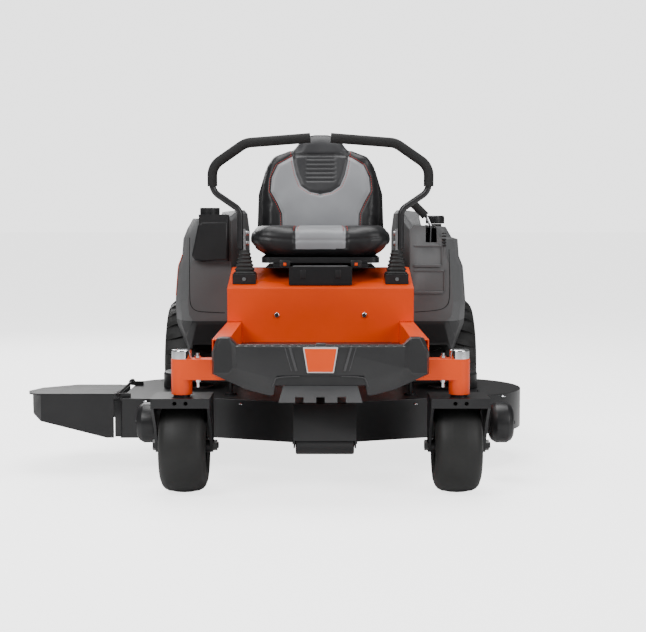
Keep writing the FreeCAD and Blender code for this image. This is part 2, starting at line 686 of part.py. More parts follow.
# ---------------------------------------------------------------------------------------------------------
# Casters: fork with spindle, axle bolt, hub and solid tyre
# ---------------------------------------------------------------------------------------------------------
def make_casters():
    for side, s in SIDES:
        x = f"{s} * caster_x"
        front = "-caster_trail - 58"
        crown = block(
            f"crown_{side}",
            (f"{x} - fork_outer", f"{x} + fork_outer"),
            (front, "20"),
            ("crown_z", "crown_top"),
        )
        lip = block(
            f"lip_{side}",
            (f"{x} - fork_outer", f"{x} + fork_outer"),
            (front, f"{front} + fork_wall"),
            ("crown_top - fork_lip", "crown_z"),
        )
        tie_holes = [
            rod(
                f"tie_hole_{side}_{i}",
                "6",
                "fork_wall * 3",
                (f"{x} + {dx}", f"{front} - fork_wall", "crown_top - fork_lip / 2"),
                "Y",
            )
            for i, dx in enumerate((-16, 16))
        ]
        legs = []
        outline = [
            (front, "crown_top"),
            ("20", "crown_top"),
            ("26", "caster_r"),
            ("20", "caster_r - 18"),
            ("-20", "caster_r - 18"),
            ("-26", "caster_r"),
            ("-70", "caster_r + 70"),
            (front, "crown_top - fork_lip"),
        ]
        for hand, face in (("a", f"{x} - fork_outer"), ("b", f"{x} + fork_inner")):
            legs.append(side_plate(f"leg_{side}_{hand}", outline, "fork_wall", face))
        spindle = rod(
            f"swivel_{side}", "swivel_r", "barrel_top + 12 - crown_z", (x, "-caster_trail", "crown_z")
        )
        collar = rod(
            f"swivel_collar_{side}",
            "bush_r + 6",
            "barrel_z - slip_gap - crown_top",
            (x, "-caster_trail", "crown_top"),
        )
        frame = fuse(f"fork_welded_{side}", crown, lip, *legs, spindle, collar)
        bore = rod(
            f"fork_bore_{side}",
            "caster_axle_r",
            "fork_outer * 2",
            (f"{x} - fork_outer", "0", "caster_r"),
            "X",
        )
        fork = cut(f"fork_{side}_solid", frame, bore, *tie_holes)
        bolt = fuse(
            f"axle_{side}_solid",
            rod(
                f"axle_{side}_shank",
                "caster_axle_r",
                "fork_outer * 2 + 20",
                (f"{x} - fork_outer - 4", "0", "caster_r"),
                "X",
            ),
            hexagon(
                f"axle_{side}_head",
                "caster_axle_r * 1.7",
                "10",
                (f"{x} - fork_outer - 10", "0", "caster_r"),
                "X",
            ),
            hexagon(
                f"axle_{side}_nut",
                "caster_axle_r * 1.7",
                "12",
                (f"{x} + fork_outer", "0", "caster_r"),
                "X",
            ),
        )
        nut = cut(
            f"swivel_nut_{side}",
            hexagon(
                f"swivel_nut_{side}_body",
                "bush_r + 2",
                "10",
                (x, "-caster_trail", "barrel_top + slip_gap"),
            ),
            rod(
                f"swivel_nut_{side}_hole",
                "swivel_r",
                "10",
                (x, "-caster_trail", "barrel_top + slip_gap"),
            ),
        )
        node(f"caster_fork_{side}", fork, bolt, nut)

        half, rim = "fork_inner - slip_gap", "caster_rim_w / 2"
        hub_outline = [
            (f"-({half})", "caster_axle_r + running_gap"),
            (f"-({half})", "caster_hub_r"),
            ("-6", "caster_hub_r"),
            ("-6", "caster_rim_r - 8"),
            (f"-{rim}", "caster_rim_r - 8"),
            (f"-{rim}", "caster_rim_r"),
            (rim, "caster_rim_r"),
            (rim, "caster_rim_r - 8"),
            ("6", "caster_rim_r - 8"),
            ("6", "caster_hub_r"),
            (half, "caster_hub_r"),
            (half, "caster_axle_r + running_gap"),
        ]
        node(f"caster_hub_{side}", turned(f"hub_{side}", hub_outline, (x, "0", "caster_r"), "X"))
        wide = "caster_w / 2"
        tyre_outline = [
            (f"-{rim}", "caster_rim_r"),
            (f"-{wide} + 3", "caster_rim_r + 14"),
            (f"-{wide}", "caster_r * 0.72"),
            (f"-{wide} + 4", "caster_r - 24"),
            (f"-{wide} + 13", "caster_r - 9"),
            (f"-{wide} + 28", "caster_r - 2"),
            ("-20", "caster_r"),
            ("20", "caster_r"),
            (f"{wide} - 28", "caster_r - 2"),
            (f"{wide} - 13", "caster_r - 9"),
            (f"{wide} - 4", "caster_r - 24"),
            (wide, "caster_r * 0.72"),
            (f"{wide} - 3", "caster_rim_r + 14"),
            (rim, "caster_rim_r"),
        ]
        node(f"caster_tyre_{side}", turned(f"tyre_{side}", tyre_outline, (x, "0", "caster_r"), "X"))


# ---------------------------------------------------------------------------------------------------------
# Operator's floor, front cover, step and body panel
# ---------------------------------------------------------------------------------------------------------
def make_front():
    front = "bumper_back + 6"
    floor_outline = [
        ("riser_y - seat_gap", "floor_z"),
        ("riser_y - seat_gap", "floor_z + floor_wall"),
        ("floor_flat_y", "floor_z + floor_wall"),
        (front, "floor_z + floor_wall + floor_rise"),
        (front, "floor_z + floor_rise"),
        ("floor_flat_y", "floor_z"),
    ]
    pan = side_plate("floor_pan_solid", floor_outline, "floor_half * 2", "-floor_half")
    mat = block(
        "foot_mat",
        ("-rail_inner + 25", "rail_inner - 25"),
        ("floor_flat_y + 10", "riser_y - 15"),
        ("floor_z + floor_wall", "floor_z + floor_wall + mat_wall"),
    )
    node("floor_pan", pan, mat)

    edge = "bumper_half - horn_w"
    half = [
        ("bumper_half", "bumper_base + 66"),
        ("bumper_half", "bumper_top"),
        ("bumper_half - 20", "bumper_top + horn_rise"),
        ("bumper_half - 54", "bumper_top + horn_rise"),
        (edge, "bumper_top"),
    ]
    low = [
        ("0", "bumper_base + 58"),
        ("step_half + 6", "bumper_base + 58"),
        ("step_half + 18", "bumper_base"),
        ("step_half + 50", "bumper_base + 3"),
    ]
    outline = half + [("0", "bumper_top")] + [(f"-({x})", z) for x, z in reversed(half)]
    outline += [(f"-({x})", z) for x, z in reversed(low[1:])] + low[1:]
    body = doc.addObject("PartDesign::Body", "bumper_solid")
    sketch = sketch_outline(body, "bumper", outline)
    pad = body.newObject("PartDesign::Pad", "bumper_pad")
    pad.Profile = sketch
    bind(pad, Length="bumper_depth")
    doc.recompute()
    front_edges = [
        f"Edge{i}"
        for i, e in enumerate(pad.Shape.Edges, 1)
        if e.BoundBox.ZMin > mm("bumper_depth") - 0.01
    ]
    bevel = body.newObject("PartDesign::Chamfer", "bumper_bevel")
    bevel.Base = (pad, front_edges)
    bind(bevel, Size="bumper_bevel_w")
    doc.recompute()
    back = next(i for i, f in enumerate(bevel.Shape.Faces, 1) if f.BoundBox.ZMax < 0.01)
    shell = body.newObject("PartDesign::Thickness", "bumper_shell")
    shell.Base = (bevel, [f"Face{back}"])
    bind(shell, Value="bumper_wall")
    shell.Reversed = True
    put(body, ("0", "bumper_back", "0"), PLANES["XZ"])
    badge_outline = [
        ("-38", "bumper_top - 77"),
        ("38", "bumper_top - 77"),
        ("50", "bumper_top - 5"),
        ("-50", "bumper_top - 5"),
    ]
    badge = front_plate("badge", badge_outline, "badge_wall", "bumper_face - badge_wall")
    node("front_bumper", body, badge)

    # the step leans forward and down from the cover's lower edge
    notch = 24
    step_outline = [("-(step_half - 12)", "0"), ("step_half - 12", "0"), ("step_half", "-step_len")]
    for centre in (60, 0, -60):
        for dx, v in (
            (notch / 2, "-step_len"),
            (notch / 2, "20 - step_len"),
            (-notch / 2, "20 - step_len"),
            (-notch / 2, "-step_len"),
        ):
            step_outline.append((f"{centre + dx}", v))
    step_outline.append(("-step_half", "-step_len"))
    lean = Rotation(Vector(1, 0, 0), 45)
    tread_back = "-front_reach + (step_len + step_wall) * 0.70711"
    tread_top = "bumper_base - 10 + step_len * 0.70711"
    tread = plate("step_tread", step_outline, "step_wall", at=("0", tread_back, tread_top), turn=lean)
    arm = [
        ("bumper_back + seat_gap", "bumper_base + 44"),
        ("bumper_back + seat_gap", "bumper_base + 52"),
        (tread_back, f"{tread_top} + 3"),
        (f"{tread_back} - 1", f"{tread_top} - 3"),
    ]
    carrier = side_plate("step_carrier", arm, "(step_half - 16) * 2", "-(step_half - 16)")
    node(
        "front_step",
        cut(
            "step_carrier_cut",
            carrier,
            plate(
                "step_tread_tool", step_outline, "step_wall", at=("0", tread_back, tread_top), turn=lean
            ),
        ),
        tread,
    )


def make_body_panel():
    w = "panel_wall"
    lower = block(
        "riser_lower",
        ("-floor_half", "floor_half"),
        ("riser_y", f"riser_y + {w}"),
        ("floor_z", "rail_top + seat_gap"),
    )
    upper = block(
        "riser_upper",
        ("-panel_half", "panel_half"),
        ("riser_y", f"riser_y + {w}"),
        ("rail_top + seat_gap", "riser_top"),
    )
    top_outline = [
        ("riser_y", f"riser_top - {w}"),
        ("riser_y", "riser_top"),
        ("riser_y + console_run", "console_top"),
        ("panel_back", "console_top"),
        ("panel_back", f"console_top - {w}"),
        ("riser_y + console_run", f"console_top - {w}"),
    ]
    top = side_plate("console_skin", top_outline, "panel_half * 2", "-panel_half")
    side_outline = [
        ("riser_y", "rail_top + seat_gap"),
        ("panel_back", "rail_top + seat_gap"),
        ("panel_back", "console_top"),
        ("riser_y + console_run", "console_top"),
        ("riser_y", "riser_top"),
    ]
    walls = [
        side_plate(f"panel_side_{side}", side_outline, w, f"{s} * (panel_half - {w} / 2) - {w} / 2")
        for side, s in SIDES
    ]
    slots = [
        block(
            f"lever_slot_{side}",
            (f"{s} * lever_x - lever_slot_half", f"{s} * lever_x + lever_slot_half"),
            ("lever_y - lever_slot_half", "lever_y + lever_slot_half"),
            ("riser_top - 20", "console_top + 20"),
        )
        for side, s in SIDES
    ]
    node(
        "body_panel",
        cut("body_panel_solid", fuse("body_panel_welded", lower, upper, top, *walls), *slots),
    )


# ---------------------------------------------------------------------------------------------------------
# Fenders, control pod, fuel tank and cap, small controls
# ---------------------------------------------------------------------------------------------------------
def fender_section(side, y, kind, inset):
    """A fender's outline across the mower at one y. The kind is nose, front, arch or tail."""
    s = dict(SIDES)[side]
    inner, outer = mm("fender_inner"), mm("fender_outer")
    base = mm("fender_base")
    rail = mm("rail_top")
    top = mm(f"fender_top_{side}") - (mm("fender_drop") if kind == "tail" else 0)
    hump = mm("fender_hump") - (mm("fender_drop") if kind == "tail" else 0)
    hump_in, hump_out = mm("hump_inner"), mm("hump_outer")
    if kind in ("nose", "front"):
        hump_in, hump = inner, top + 2
    flare = {"nose": -58, "front": -26, "arch": 0, "tail": -30}[kind]
    drop = {"nose": 96, "front": 0, "arch": 0, "tail": 60}[kind]
    wide = outer + flare
    side_top = 29 if side == "right" else 46
    outline = [
        (inner, base + drop),
        (wide - 32, base + drop),
        (wide - 19, base + max(43, drop + 12)),
        (wide - 4, base + max(93, drop + 30)),
        (wide, base + 176),
        (wide - 10, base + 298),
        (wide - 25, base + 335),
        (wide - 30, base + 398),
        (wide - 30 - side_top / 2, top - 42),
        (wide - 52 - side_top / 2, top - 4),
        (hump_out + 6, top),
        (hump_out, max(hump - 8, top + 1)),
        (hump_in + 12, hump),
        (hump_in, hump - 14),
        (hump_in, rail + 20),
        (inner, rail + 8),
    ]
    middle = (hump_in + wide) / 2
    shifted = []
    for x, z in outline:
        x += inset if x < middle - 60 else (-inset if x > middle + 20 else 0)
        z += -inset if z > rail + 200 else (-3 * inset if z < base + drop + 1 and kind != "nose" else 0)
        shifted.append((s * x, y, z))
    return shifted


def make_fenders():
    wall = mm("fender_wall")
    front, back = mm("fender_front"), mm("fender_back")
    stations = [
        (front, "nose"),
        (front + 45, "front"),
        (front + 130, "arch"),
        (back - 170, "arch"),
        (back, "tail"),
    ]
    for side, s in SIDES:
        skin = loft(f"fender_{side}_skin", [fender_section(side, y, kind, 0) for y, kind in stations])
        hollow = [(y + shift * wall, kind) for (y, kind), shift in zip(stations, (1, 1, 0, 0, -1))]
        cavity = loft(f"fender_{side}_cavity", [fender_section(side, y, kind, wall) for y, kind in hollow])
        low = "fender_inner + fender_wall" if s > 0 else "-(fender_outer + 60)"
        arch = rod(
            f"fender_{side}_arch",
            "arch_r",
            "fender_outer + 60 - fender_inner - fender_wall",
            (low, "wheelbase", "drive_r"),
            "X",
        )
        tools = [cavity, arch]
        if side == "left":
            tools.append(
                block(
                    "lift_slot",
                    ("lift_x - lift_slot_w / 2", "lift_x + lift_slot_w / 2"),
                    ("fender_front - 10", "lift_y + 70"),
                    ("lift_z + 35", "fender_top_left + 40"),
                )
            )
            tools.append(
                rod("filler_hole", "cap_r - 8", "200", ("cap_x", "cap_y", "fender_top_left - 100"))
            )
        else:
            tools.append(
                rod("switch_hole", "knob_r + 6", "60", ("-pod_x", "pod_y", "fender_top_right - 30"))
            )
        node(f"fender_{side}", cut(f"fender_{side}_solid", skin, *tools))


def make_small_controls():
    inside = "hump_inner + fender_wall"
    tank = rounded(
        "tank_round",
        block(
            "tank_block",
            (inside, "cap_x + 5"),
            ("fender_front + 136", "fender_front + 370"),
            ("fender_top_left - 175", "fender_top_left - 30"),
        ),
        "20",
        lambda e: upright(e) and abs(e.BoundBox.XMin) > mm("cap_x"),
    )
    neck = rod("tank_neck", "cap_r - 10", "50", ("cap_x", "cap_y", "fender_top_left - 44"))
    hollow = block(
        "tank_hollow",
        (f"{inside} + 4", "cap_x + 1"),
        ("fender_front + 140", "fender_front + 366"),
        ("fender_top_left - 171", "fender_top_left - 34"),
    )
    throat = rod("tank_throat", "cap_r - 14", "52", ("cap_x", "cap_y", "fender_top_left - 45"))
    node("fuel_tank", cut("tank_solid", fuse("tank_welded", tank, neck), hollow, throat))
    cap = rod("fuel_cap_body", "cap_r", "cap_high", ("cap_x", "cap_y", "fender_top_left + 7"))
    crown = rounded(
        "fuel_cap_round",
        cap,
        "6",
        lambda e: e.BoundBox.ZMin > mm("fender_top_left + cap_high") and not upright(e),
    )
    node("fuel_cap", crown)

    lid_z = "fender_top_right + seat_gap + 2"
    x_span = ("-console_x - console_half", "-console_x + console_half")
    tower = rounded(
        "console_tower",
        block(
            "console_tower_block",
            x_span,
            ("console_front", "fender_front - seat_gap"),
            ("console_base", lid_z),
        ),
        "10",
        lambda e: upright(e) and e.BoundBox.YMax < mm("console_front") + 1,
    )
    brow = block(
        "console_brow",
        x_span,
        ("console_front", "fender_front - seat_gap"),
        (lid_z, f"{lid_z} + console_lid"),
    )
    rear_span = ("-console_x - console_half", "-hump_outer - 5")
    shelf = block(
        "console_shelf",
        rear_span,
        ("console_front + 5", "fender_front + 82"),
        (lid_z, f"{lid_z} + console_lid"),
    )
    lid = fuse("console_lid_solid", brow, shelf)
    pod = ("-pod_x", "pod_y", f"{lid_z} + console_lid")
    ring_wall = ring("switch_ring", "pod_r", "pod_r - 7", "pod_high", pod)
    stem_hole = rod("switch_bore", "knob_stem_r + running_gap", "20", ("-pod_x", "pod_y", f"{lid_z} - 1"))
    node(
        "control_console",
        cut("console_solid", fuse("console_moulded", tower, lid, ring_wall), stem_hole),
    )
    top = f"{lid_z} + console_lid"
    knob = fuse(
        "knob_solid",
        rod(
            "knob_stem",
            "knob_stem_r",
            "console_lid + knob_travel + 16",
            ("-pod_x", "pod_y", f"{lid_z} - knob_travel - 8"),
        ),
        cone("knob_waist", "knob_r - 9", "knob_r - 11", "10", ("-pod_x", "pod_y", f"{top} + slip_gap")),
        cone("knob_head", "knob_r", "knob_r - 4", "12", ("-pod_x", "pod_y", f"{top} + slip_gap + 10")),
    )
    node("blade_switch_knob", knob)

    # deck lift lever: it rocks in the slot of the fender at the operator's left
    x, y, z = mm("lift_x"), mm("lift_y"), mm("lift_z")
    rod_points = [(x, y, z + 12), (x + 2, y, z + 92), (x - 12, y, z + 124), (x - 60, y, z + 172)]
    stem = sweep("lift_stem", rod_points, mm("lift_rod_r"), 20)
    pivot = rod("lift_pivot", "14", "24", ("lift_x - 12", "lift_y", "lift_z"), "X")
    pin_hole = rod("lift_pin_hole", "6 + running_gap", "30", ("lift_x - 15", "lift_y", "lift_z"), "X")
    start, end = Vector(*rod_points[2]), Vector(*rod_points[3])
    run = (end - start).normalize()
    grip = doc.addObject("Part::Feature", "lift_grip_body")
    hole = Part.makeCylinder(mm("lift_rod_r"), 120, start - run * 10, run)
    sleeve = Part.makeCylinder(mm("lift_grip_r"), 74, start + run * 8, run).cut(hole)
    grip.Shape = sleeve.fuse(Part.makeCylinder(mm("lift_grip_r"), 14, end, run))
    node("lift_lever", cut("lift_lever_solid", fuse("lift_lever_welded", stem, pivot), pin_hole), grip)


# ---------------------------------------------------------------------------------------------------------
# Drive wheels, transaxles, engine, guard and hitch
# ---------------------------------------------------------------------------------------------------------
def make_drive():
    cases = []
    for side, s in SIDES:
        x = f"{s} * drive_x"
        wide, rim = "drive_w / 2", "drive_rim_w / 2"
        tyre_outline = [
            (f"-{rim} + 8", "drive_rim_r"),
            (f"-{rim}", "drive_rim_r + 12"),
            (f"-{wide} + 3", "drive_r * 0.58"),
            (f"-{wide}", "drive_r * 0.76"),
            (f"-{wide} + 4", "drive_r - 36"),
            (f"-{wide} + 16", "drive_r - 15"),
            (f"-{wide} + 44", "drive_r - 4"),
            ("-40", "drive_r"),
            ("40", "drive_r"),
            (f"{wide} - 44", "drive_r - 4"),
            (f"{wide} - 16", "drive_r - 15"),
            (f"{wide} - 4", "drive_r - 36"),
            (wide, "drive_r * 0.76"),
            (f"{wide} - 3", "drive_r * 0.58"),
            (rim, "drive_rim_r + 12"),
            (f"{rim} - 8", "drive_rim_r"),
        ]
        node(
            f"drive_tyre_{side}",
            turned(f"drive_tyre_{side}_body", tyre_outline, (x, "wheelbase", "drive_r"), "X"),
        )
        # along: positive is outwards on this side
        face = f"-({s}) * 60"
        rim_outline = [
            (f"-{rim} + 8", "drive_rim_r - 5"),
            (f"-{rim} + 8", "drive_rim_r"),
            (f"{rim} - 8", "drive_rim_r"),
            (f"{rim} - 8", "drive_rim_r - 5"),
            (f"{face} + 3", "drive_rim_r - 5"),
            (f"{face} + 3", "30"),
            (f"{face} - 3", "30"),
            (f"{face} - 3", "drive_rim_r - 5"),
        ]
        disc = turned(f"rim_{side}_body", rim_outline, (x, "wheelbase", "drive_r"), "X")
        nuts = []
        studs = []
        for i in range(4):
            dy, dz = ((1, 1), (-1, 1), (-1, -1), (1, -1))[i]
            at_y = f"wheelbase + {dy} * lug_circle / 2 * 0.70711"
            at_z = f"drive_r + {dz} * lug_circle / 2 * 0.70711"
            out = f"{s} * (hub_face + 3)" if s > 0 else "-(hub_face + 15)"
            nuts.append(hexagon(f"lug_{side}_{i}", "lug_r", "12", (out, at_y, at_z), "X"))
            studs.append(
                rod(f"lug_hole_{side}_{i}", "5.5", "40", (f"{s} * hub_face - 20", at_y, at_z), "X")
            )
        rim_solid = cut(f"rim_{side}_solid", disc, *studs)
        flange_x = "hub_face - 15" if s > 0 else "-(hub_face - 3)"
        flange = rod(f"hub_flange_{side}", "68", "12", (flange_x, "wheelbase", "drive_r"), "X")
        shaft_x = "transaxle_x + transaxle_w / 2 - 30" if s > 0 else "-(hub_face - 3)"
        shaft = rod(
            f"hub_shaft_{side}",
            "drive_axle_r",
            "hub_face - 3 - transaxle_x - transaxle_w / 2 + 30",
            (shaft_x, "wheelbase", "drive_r"),
            "X",
        )
        pins = []
        for i in range(4):
            dy, dz = ((1, 1), (-1, 1), (-1, -1), (1, -1))[i]
            at = (
                f"{s} * hub_face - 9",
                f"wheelbase + {dy} * lug_circle / 2 * 0.70711",
                f"drive_r + {dz} * lug_circle / 2 * 0.70711",
            )
            pins.append(
                rod(f"lug_stud_{side}_{i}", "5.5", "12 + 6", (f"{s} * hub_face - 9", at[1], at[2]), "X")
            )
        hub = fuse(f"hub_welded_{side}", flange, shaft, *pins)
        nuts = [cut(f"lug_nut_{side}_{i}", nut, hub) for i, nut in enumerate(nuts)]
        node(f"drive_wheel_{side}", rim_solid, hub, *nuts)

        low = f"{s} * transaxle_x - transaxle_w / 2"
        case = rounded(
            f"transaxle_{side}_case",
            block(
                f"transaxle_{side}_block",
                (low, f"{low} + transaxle_w"),
                ("wheelbase - transaxle_len / 2", "wheelbase + transaxle_len / 2"),
                ("rail_base - 15 - transaxle_high", "rail_base - 15"),
            ),
            "18",
            lambda e: True,
        )
        tube_x = "transaxle_x + transaxle_w / 2" if s > 0 else "-(fender_inner)"
        tube = rod(
            f"transaxle_{side}_tube",
            "34",
            "fender_inner - transaxle_x - transaxle_w / 2",
            (tube_x, "wheelbase", "drive_r"),
            "X",
        )
        bore_x = "transaxle_x + transaxle_w / 2 - 32" if s > 0 else "-(fender_inner + 1)"
        bore = rod(
            f"transaxle_{side}_bore",
            "drive_axle_r + running_gap",
            "fender_inner + 1 - transaxle_x - transaxle_w / 2 + 32",
            (bore_x, "wheelbase", "drive_r"),
            "X",
        )
        fins = [
            block(
                f"transaxle_{side}_fin_{i}",
                (f"{low} + 20", f"{low} + transaxle_w - 20"),
                (f"wheelbase - transaxle_len / 2 - 6", f"wheelbase - transaxle_len / 2 + 10"),
                (f"drive_r - 40 + {20 * i}", f"drive_r - 34 + {20 * i}"),
            )
            for i in range(5)
        ]
        mount = block(
            f"transaxle_{side}_mount",
            (f"{low} + 20", f"{low} + transaxle_w - 20"),
            ("wheelbase - 50", "wheelbase + 50"),
            ("rail_base - 20", "rail_base - tube_wall"),
        )
        cases.append(
            cut(
                f"transaxle_{side}_solid",
                fuse(f"transaxle_{side}_welded", case, tube, mount, *fins),
                bore,
            )
        )
    node("transaxles", *cases)


def make_engine():
    case = rounded(
        "crankcase",
        block(
            "crankcase_block",
            ("-engine_case / 2", "engine_case / 2"),
            ("engine_y - engine_case / 2", "engine_y + engine_case / 2 - 70"),
            ("engine_z", "shroud_z"),
        ),
        "20",
        upright,
    )
    bore = rod("crank_bore", "crank_r + running_gap", "60", ("0", "engine_y", "engine_z - 1"))
    heads = []
    for side, s in SIDES:
        low = f"{s} * (engine_case / 2 + 35) - 45"
        heads.append(
            block(
                f"cylinder_{side}",
                (low, f"{low} + 90"),
                ("engine_y - 60", "engine_y + 70"),
                ("engine_z + 40", "engine_z + 140"),
            )
        )
        for i in range(4):
            heads.append(
                block(
                    f"cylinder_fin_{side}_{i}",
                    (f"{low} - 5", f"{low} + 95"),
                    ("engine_y - 70", "engine_y + 80"),
                    (f"engine_z + {52 + 22 * i}", f"engine_z + {58 + 22 * i}"),
                )
            )
    filter_can = rod(
        "oil_filter",
        "38",
        "70",
        ("engine_case / 2 - 60", "engine_y - engine_case / 2 - 60", "engine_z + 60"),
        "Y",
    )
    node("engine_block", cut("engine_block_solid", fuse("engine_cast", case, *heads, filter_can), bore))

    drum = rod("shroud_drum", "shroud_r", "shroud_high", ("0", "engine_y", "shroud_z"))
    drum = rounded(
        "shroud_round",
        drum,
        "22",
        lambda e: e.BoundBox.ZMin > mm("shroud_z + shroud_high") - 3 and not upright(e),
    )
    hollow = rod("shroud_hollow", "shroud_r - 5", "shroud_high - 10", ("0", "engine_y", "shroud_z"))
    slots = []
    for i in range(-4, 5):
        slots.append(
            block(
                f"shroud_slot_{i + 4}",
                (f"-sqrt(110 * 110 - {(i * 22) ** 2})", f"sqrt(110 * 110 - {(i * 22) ** 2})"),
                (f"engine_y + {i * 22 - 5}", f"engine_y + {i * 22 + 5}"),
                ("shroud_z + shroud_high - 15", "shroud_z + shroud_high + 5"),
            )
        )
    shroud = cut("shroud_solid", drum, hollow, *slots)
    box_y = ("engine_y - shroud_r - 20", "engine_y - 95")
    filter_box = rounded(
        "air_box_round",
        block(
            "air_box",
            ("-120", "120"),
            box_y,
            ("shroud_z + shroud_high + 2", "shroud_z + shroud_high + 62"),
        ),
        "18",
        upright,
    )
    node("engine_covers", shroud, filter_box)

    muffler = rod("muffler_can", "44", "360", ("-180", "rear_reach - 110", "engine_z + 55"), "X")
    can = rounded("muffler_round", muffler, "10", lambda e: e.Curve.TypeId == "Part::GeomCircle")
    tail = rod("muffler_tail", "14", "60", ("120", "rear_reach - 110", "engine_z - 6"))
    pipes = [
        rod(
            f"exhaust_{side}",
            "13",
            "rear_reach - 110 - engine_y - 80",
            (f"{s} * 160", "engine_y + 80", "engine_z + 62"),
            "Y",
        )
        for side, s in SIDES
    ]
    node("muffler", fuse("muffler_welded", can, tail, *pipes))
    tray_y = "panel_back + 85 - (battery_len - cross_size) / 2"
    tray_z = "rail_base + cross_size"
    case = rounded(
        "battery_case",
        block(
            "battery_block",
            ("-battery_half", "battery_half"),
            (tray_y, f"{tray_y} + battery_len"),
            (f"{tray_z} + 3", f"{tray_z} + 3 + battery_high"),
        ),
        "6",
        upright,
    )
    posts = [
        rod(
            f"battery_post_{side}",
            "8",
            "14",
            (f"{s} * (battery_half - 22)", f"{tray_y} + 24", f"{tray_z} + 3 + battery_high"),
        )
        for side, s in SIDES
    ]
    tray = block(
        "battery_tray",
        ("-battery_half - 8", "battery_half + 8"),
        (f"{tray_y} - 6", f"{tray_y} + battery_len + 6"),
        (tray_z, f"{tray_z} + 3"),
    )
    node("battery", fuse("battery_solid", case, *posts), tray)

    # crank pulley stack: blade clutch and belt sheave below the engine plate
    z1 = "engine_z + 50"
    sheave = [
        ("pulley_z - 2", "0"),
        ("pulley_z - 2", "crank_pulley_r"),
        ("pulley_z + 3", "crank_pulley_r"),
        ("pulley_z + pulley_w / 2", "crank_pulley_r - 14"),
        ("pulley_z + pulley_w - 3", "crank_pulley_r"),
        ("pulley_z + pulley_w + 2", "crank_pulley_r"),
        ("pulley_z + pulley_w + 2", "crank_pulley_r - 8"),
        ("pulley_z + pulley_w + 50", "crank_pulley_r - 8"),
        ("pulley_z + pulley_w + 50", "crank_r"),
        (z1, "crank_r"),
        (z1, "0"),
    ]
    node("crank_pulley", turned("crank_pulley_body", sheave, ("0", "engine_y", "0"), "Z"))

    x, back, z = mm("rail_x"), mm("rear_reach - guard_r"), mm("engine_z")
    front = mm("rail_back + guard_r")
    points = [(-x, front - 40, z + 30), (-x, back, z + 30), (x, back, z + 30), (x, front - 40, z + 30)]
    hoop = sweep("guard_hoop", points, mm("guard_r"), 60)
    feet = [
        block(
            f"guard_foot_{side}",
            (f"{s} * rail_x - 14", f"{s} * rail_x + 14"),
            ("rail_back - 60", "rail_back - 20"),
            ("engine_z", "engine_z + 34"),
        )
        for side, s in SIDES
    ]
    node("rear_guard", fuse("guard_solid", hoop, *feet))
    plate_outline = [
        ("-70", "rail_back"), ("70", "rail_back"), ("50", "rail_back + 85"), ("-50", "rail_back + 85")
    ]
    tongue = plate("hitch_tongue", plate_outline, "hitch_wall", at=("0", "0", "rail_base + 10"))
    hole = rod("hitch_hole", "hitch_hole_r", "hitch_wall", ("0", "rail_back + 55", "rail_base + 10"))
    node("hitch_plate", cut("hitch_solid", tongue, hole))


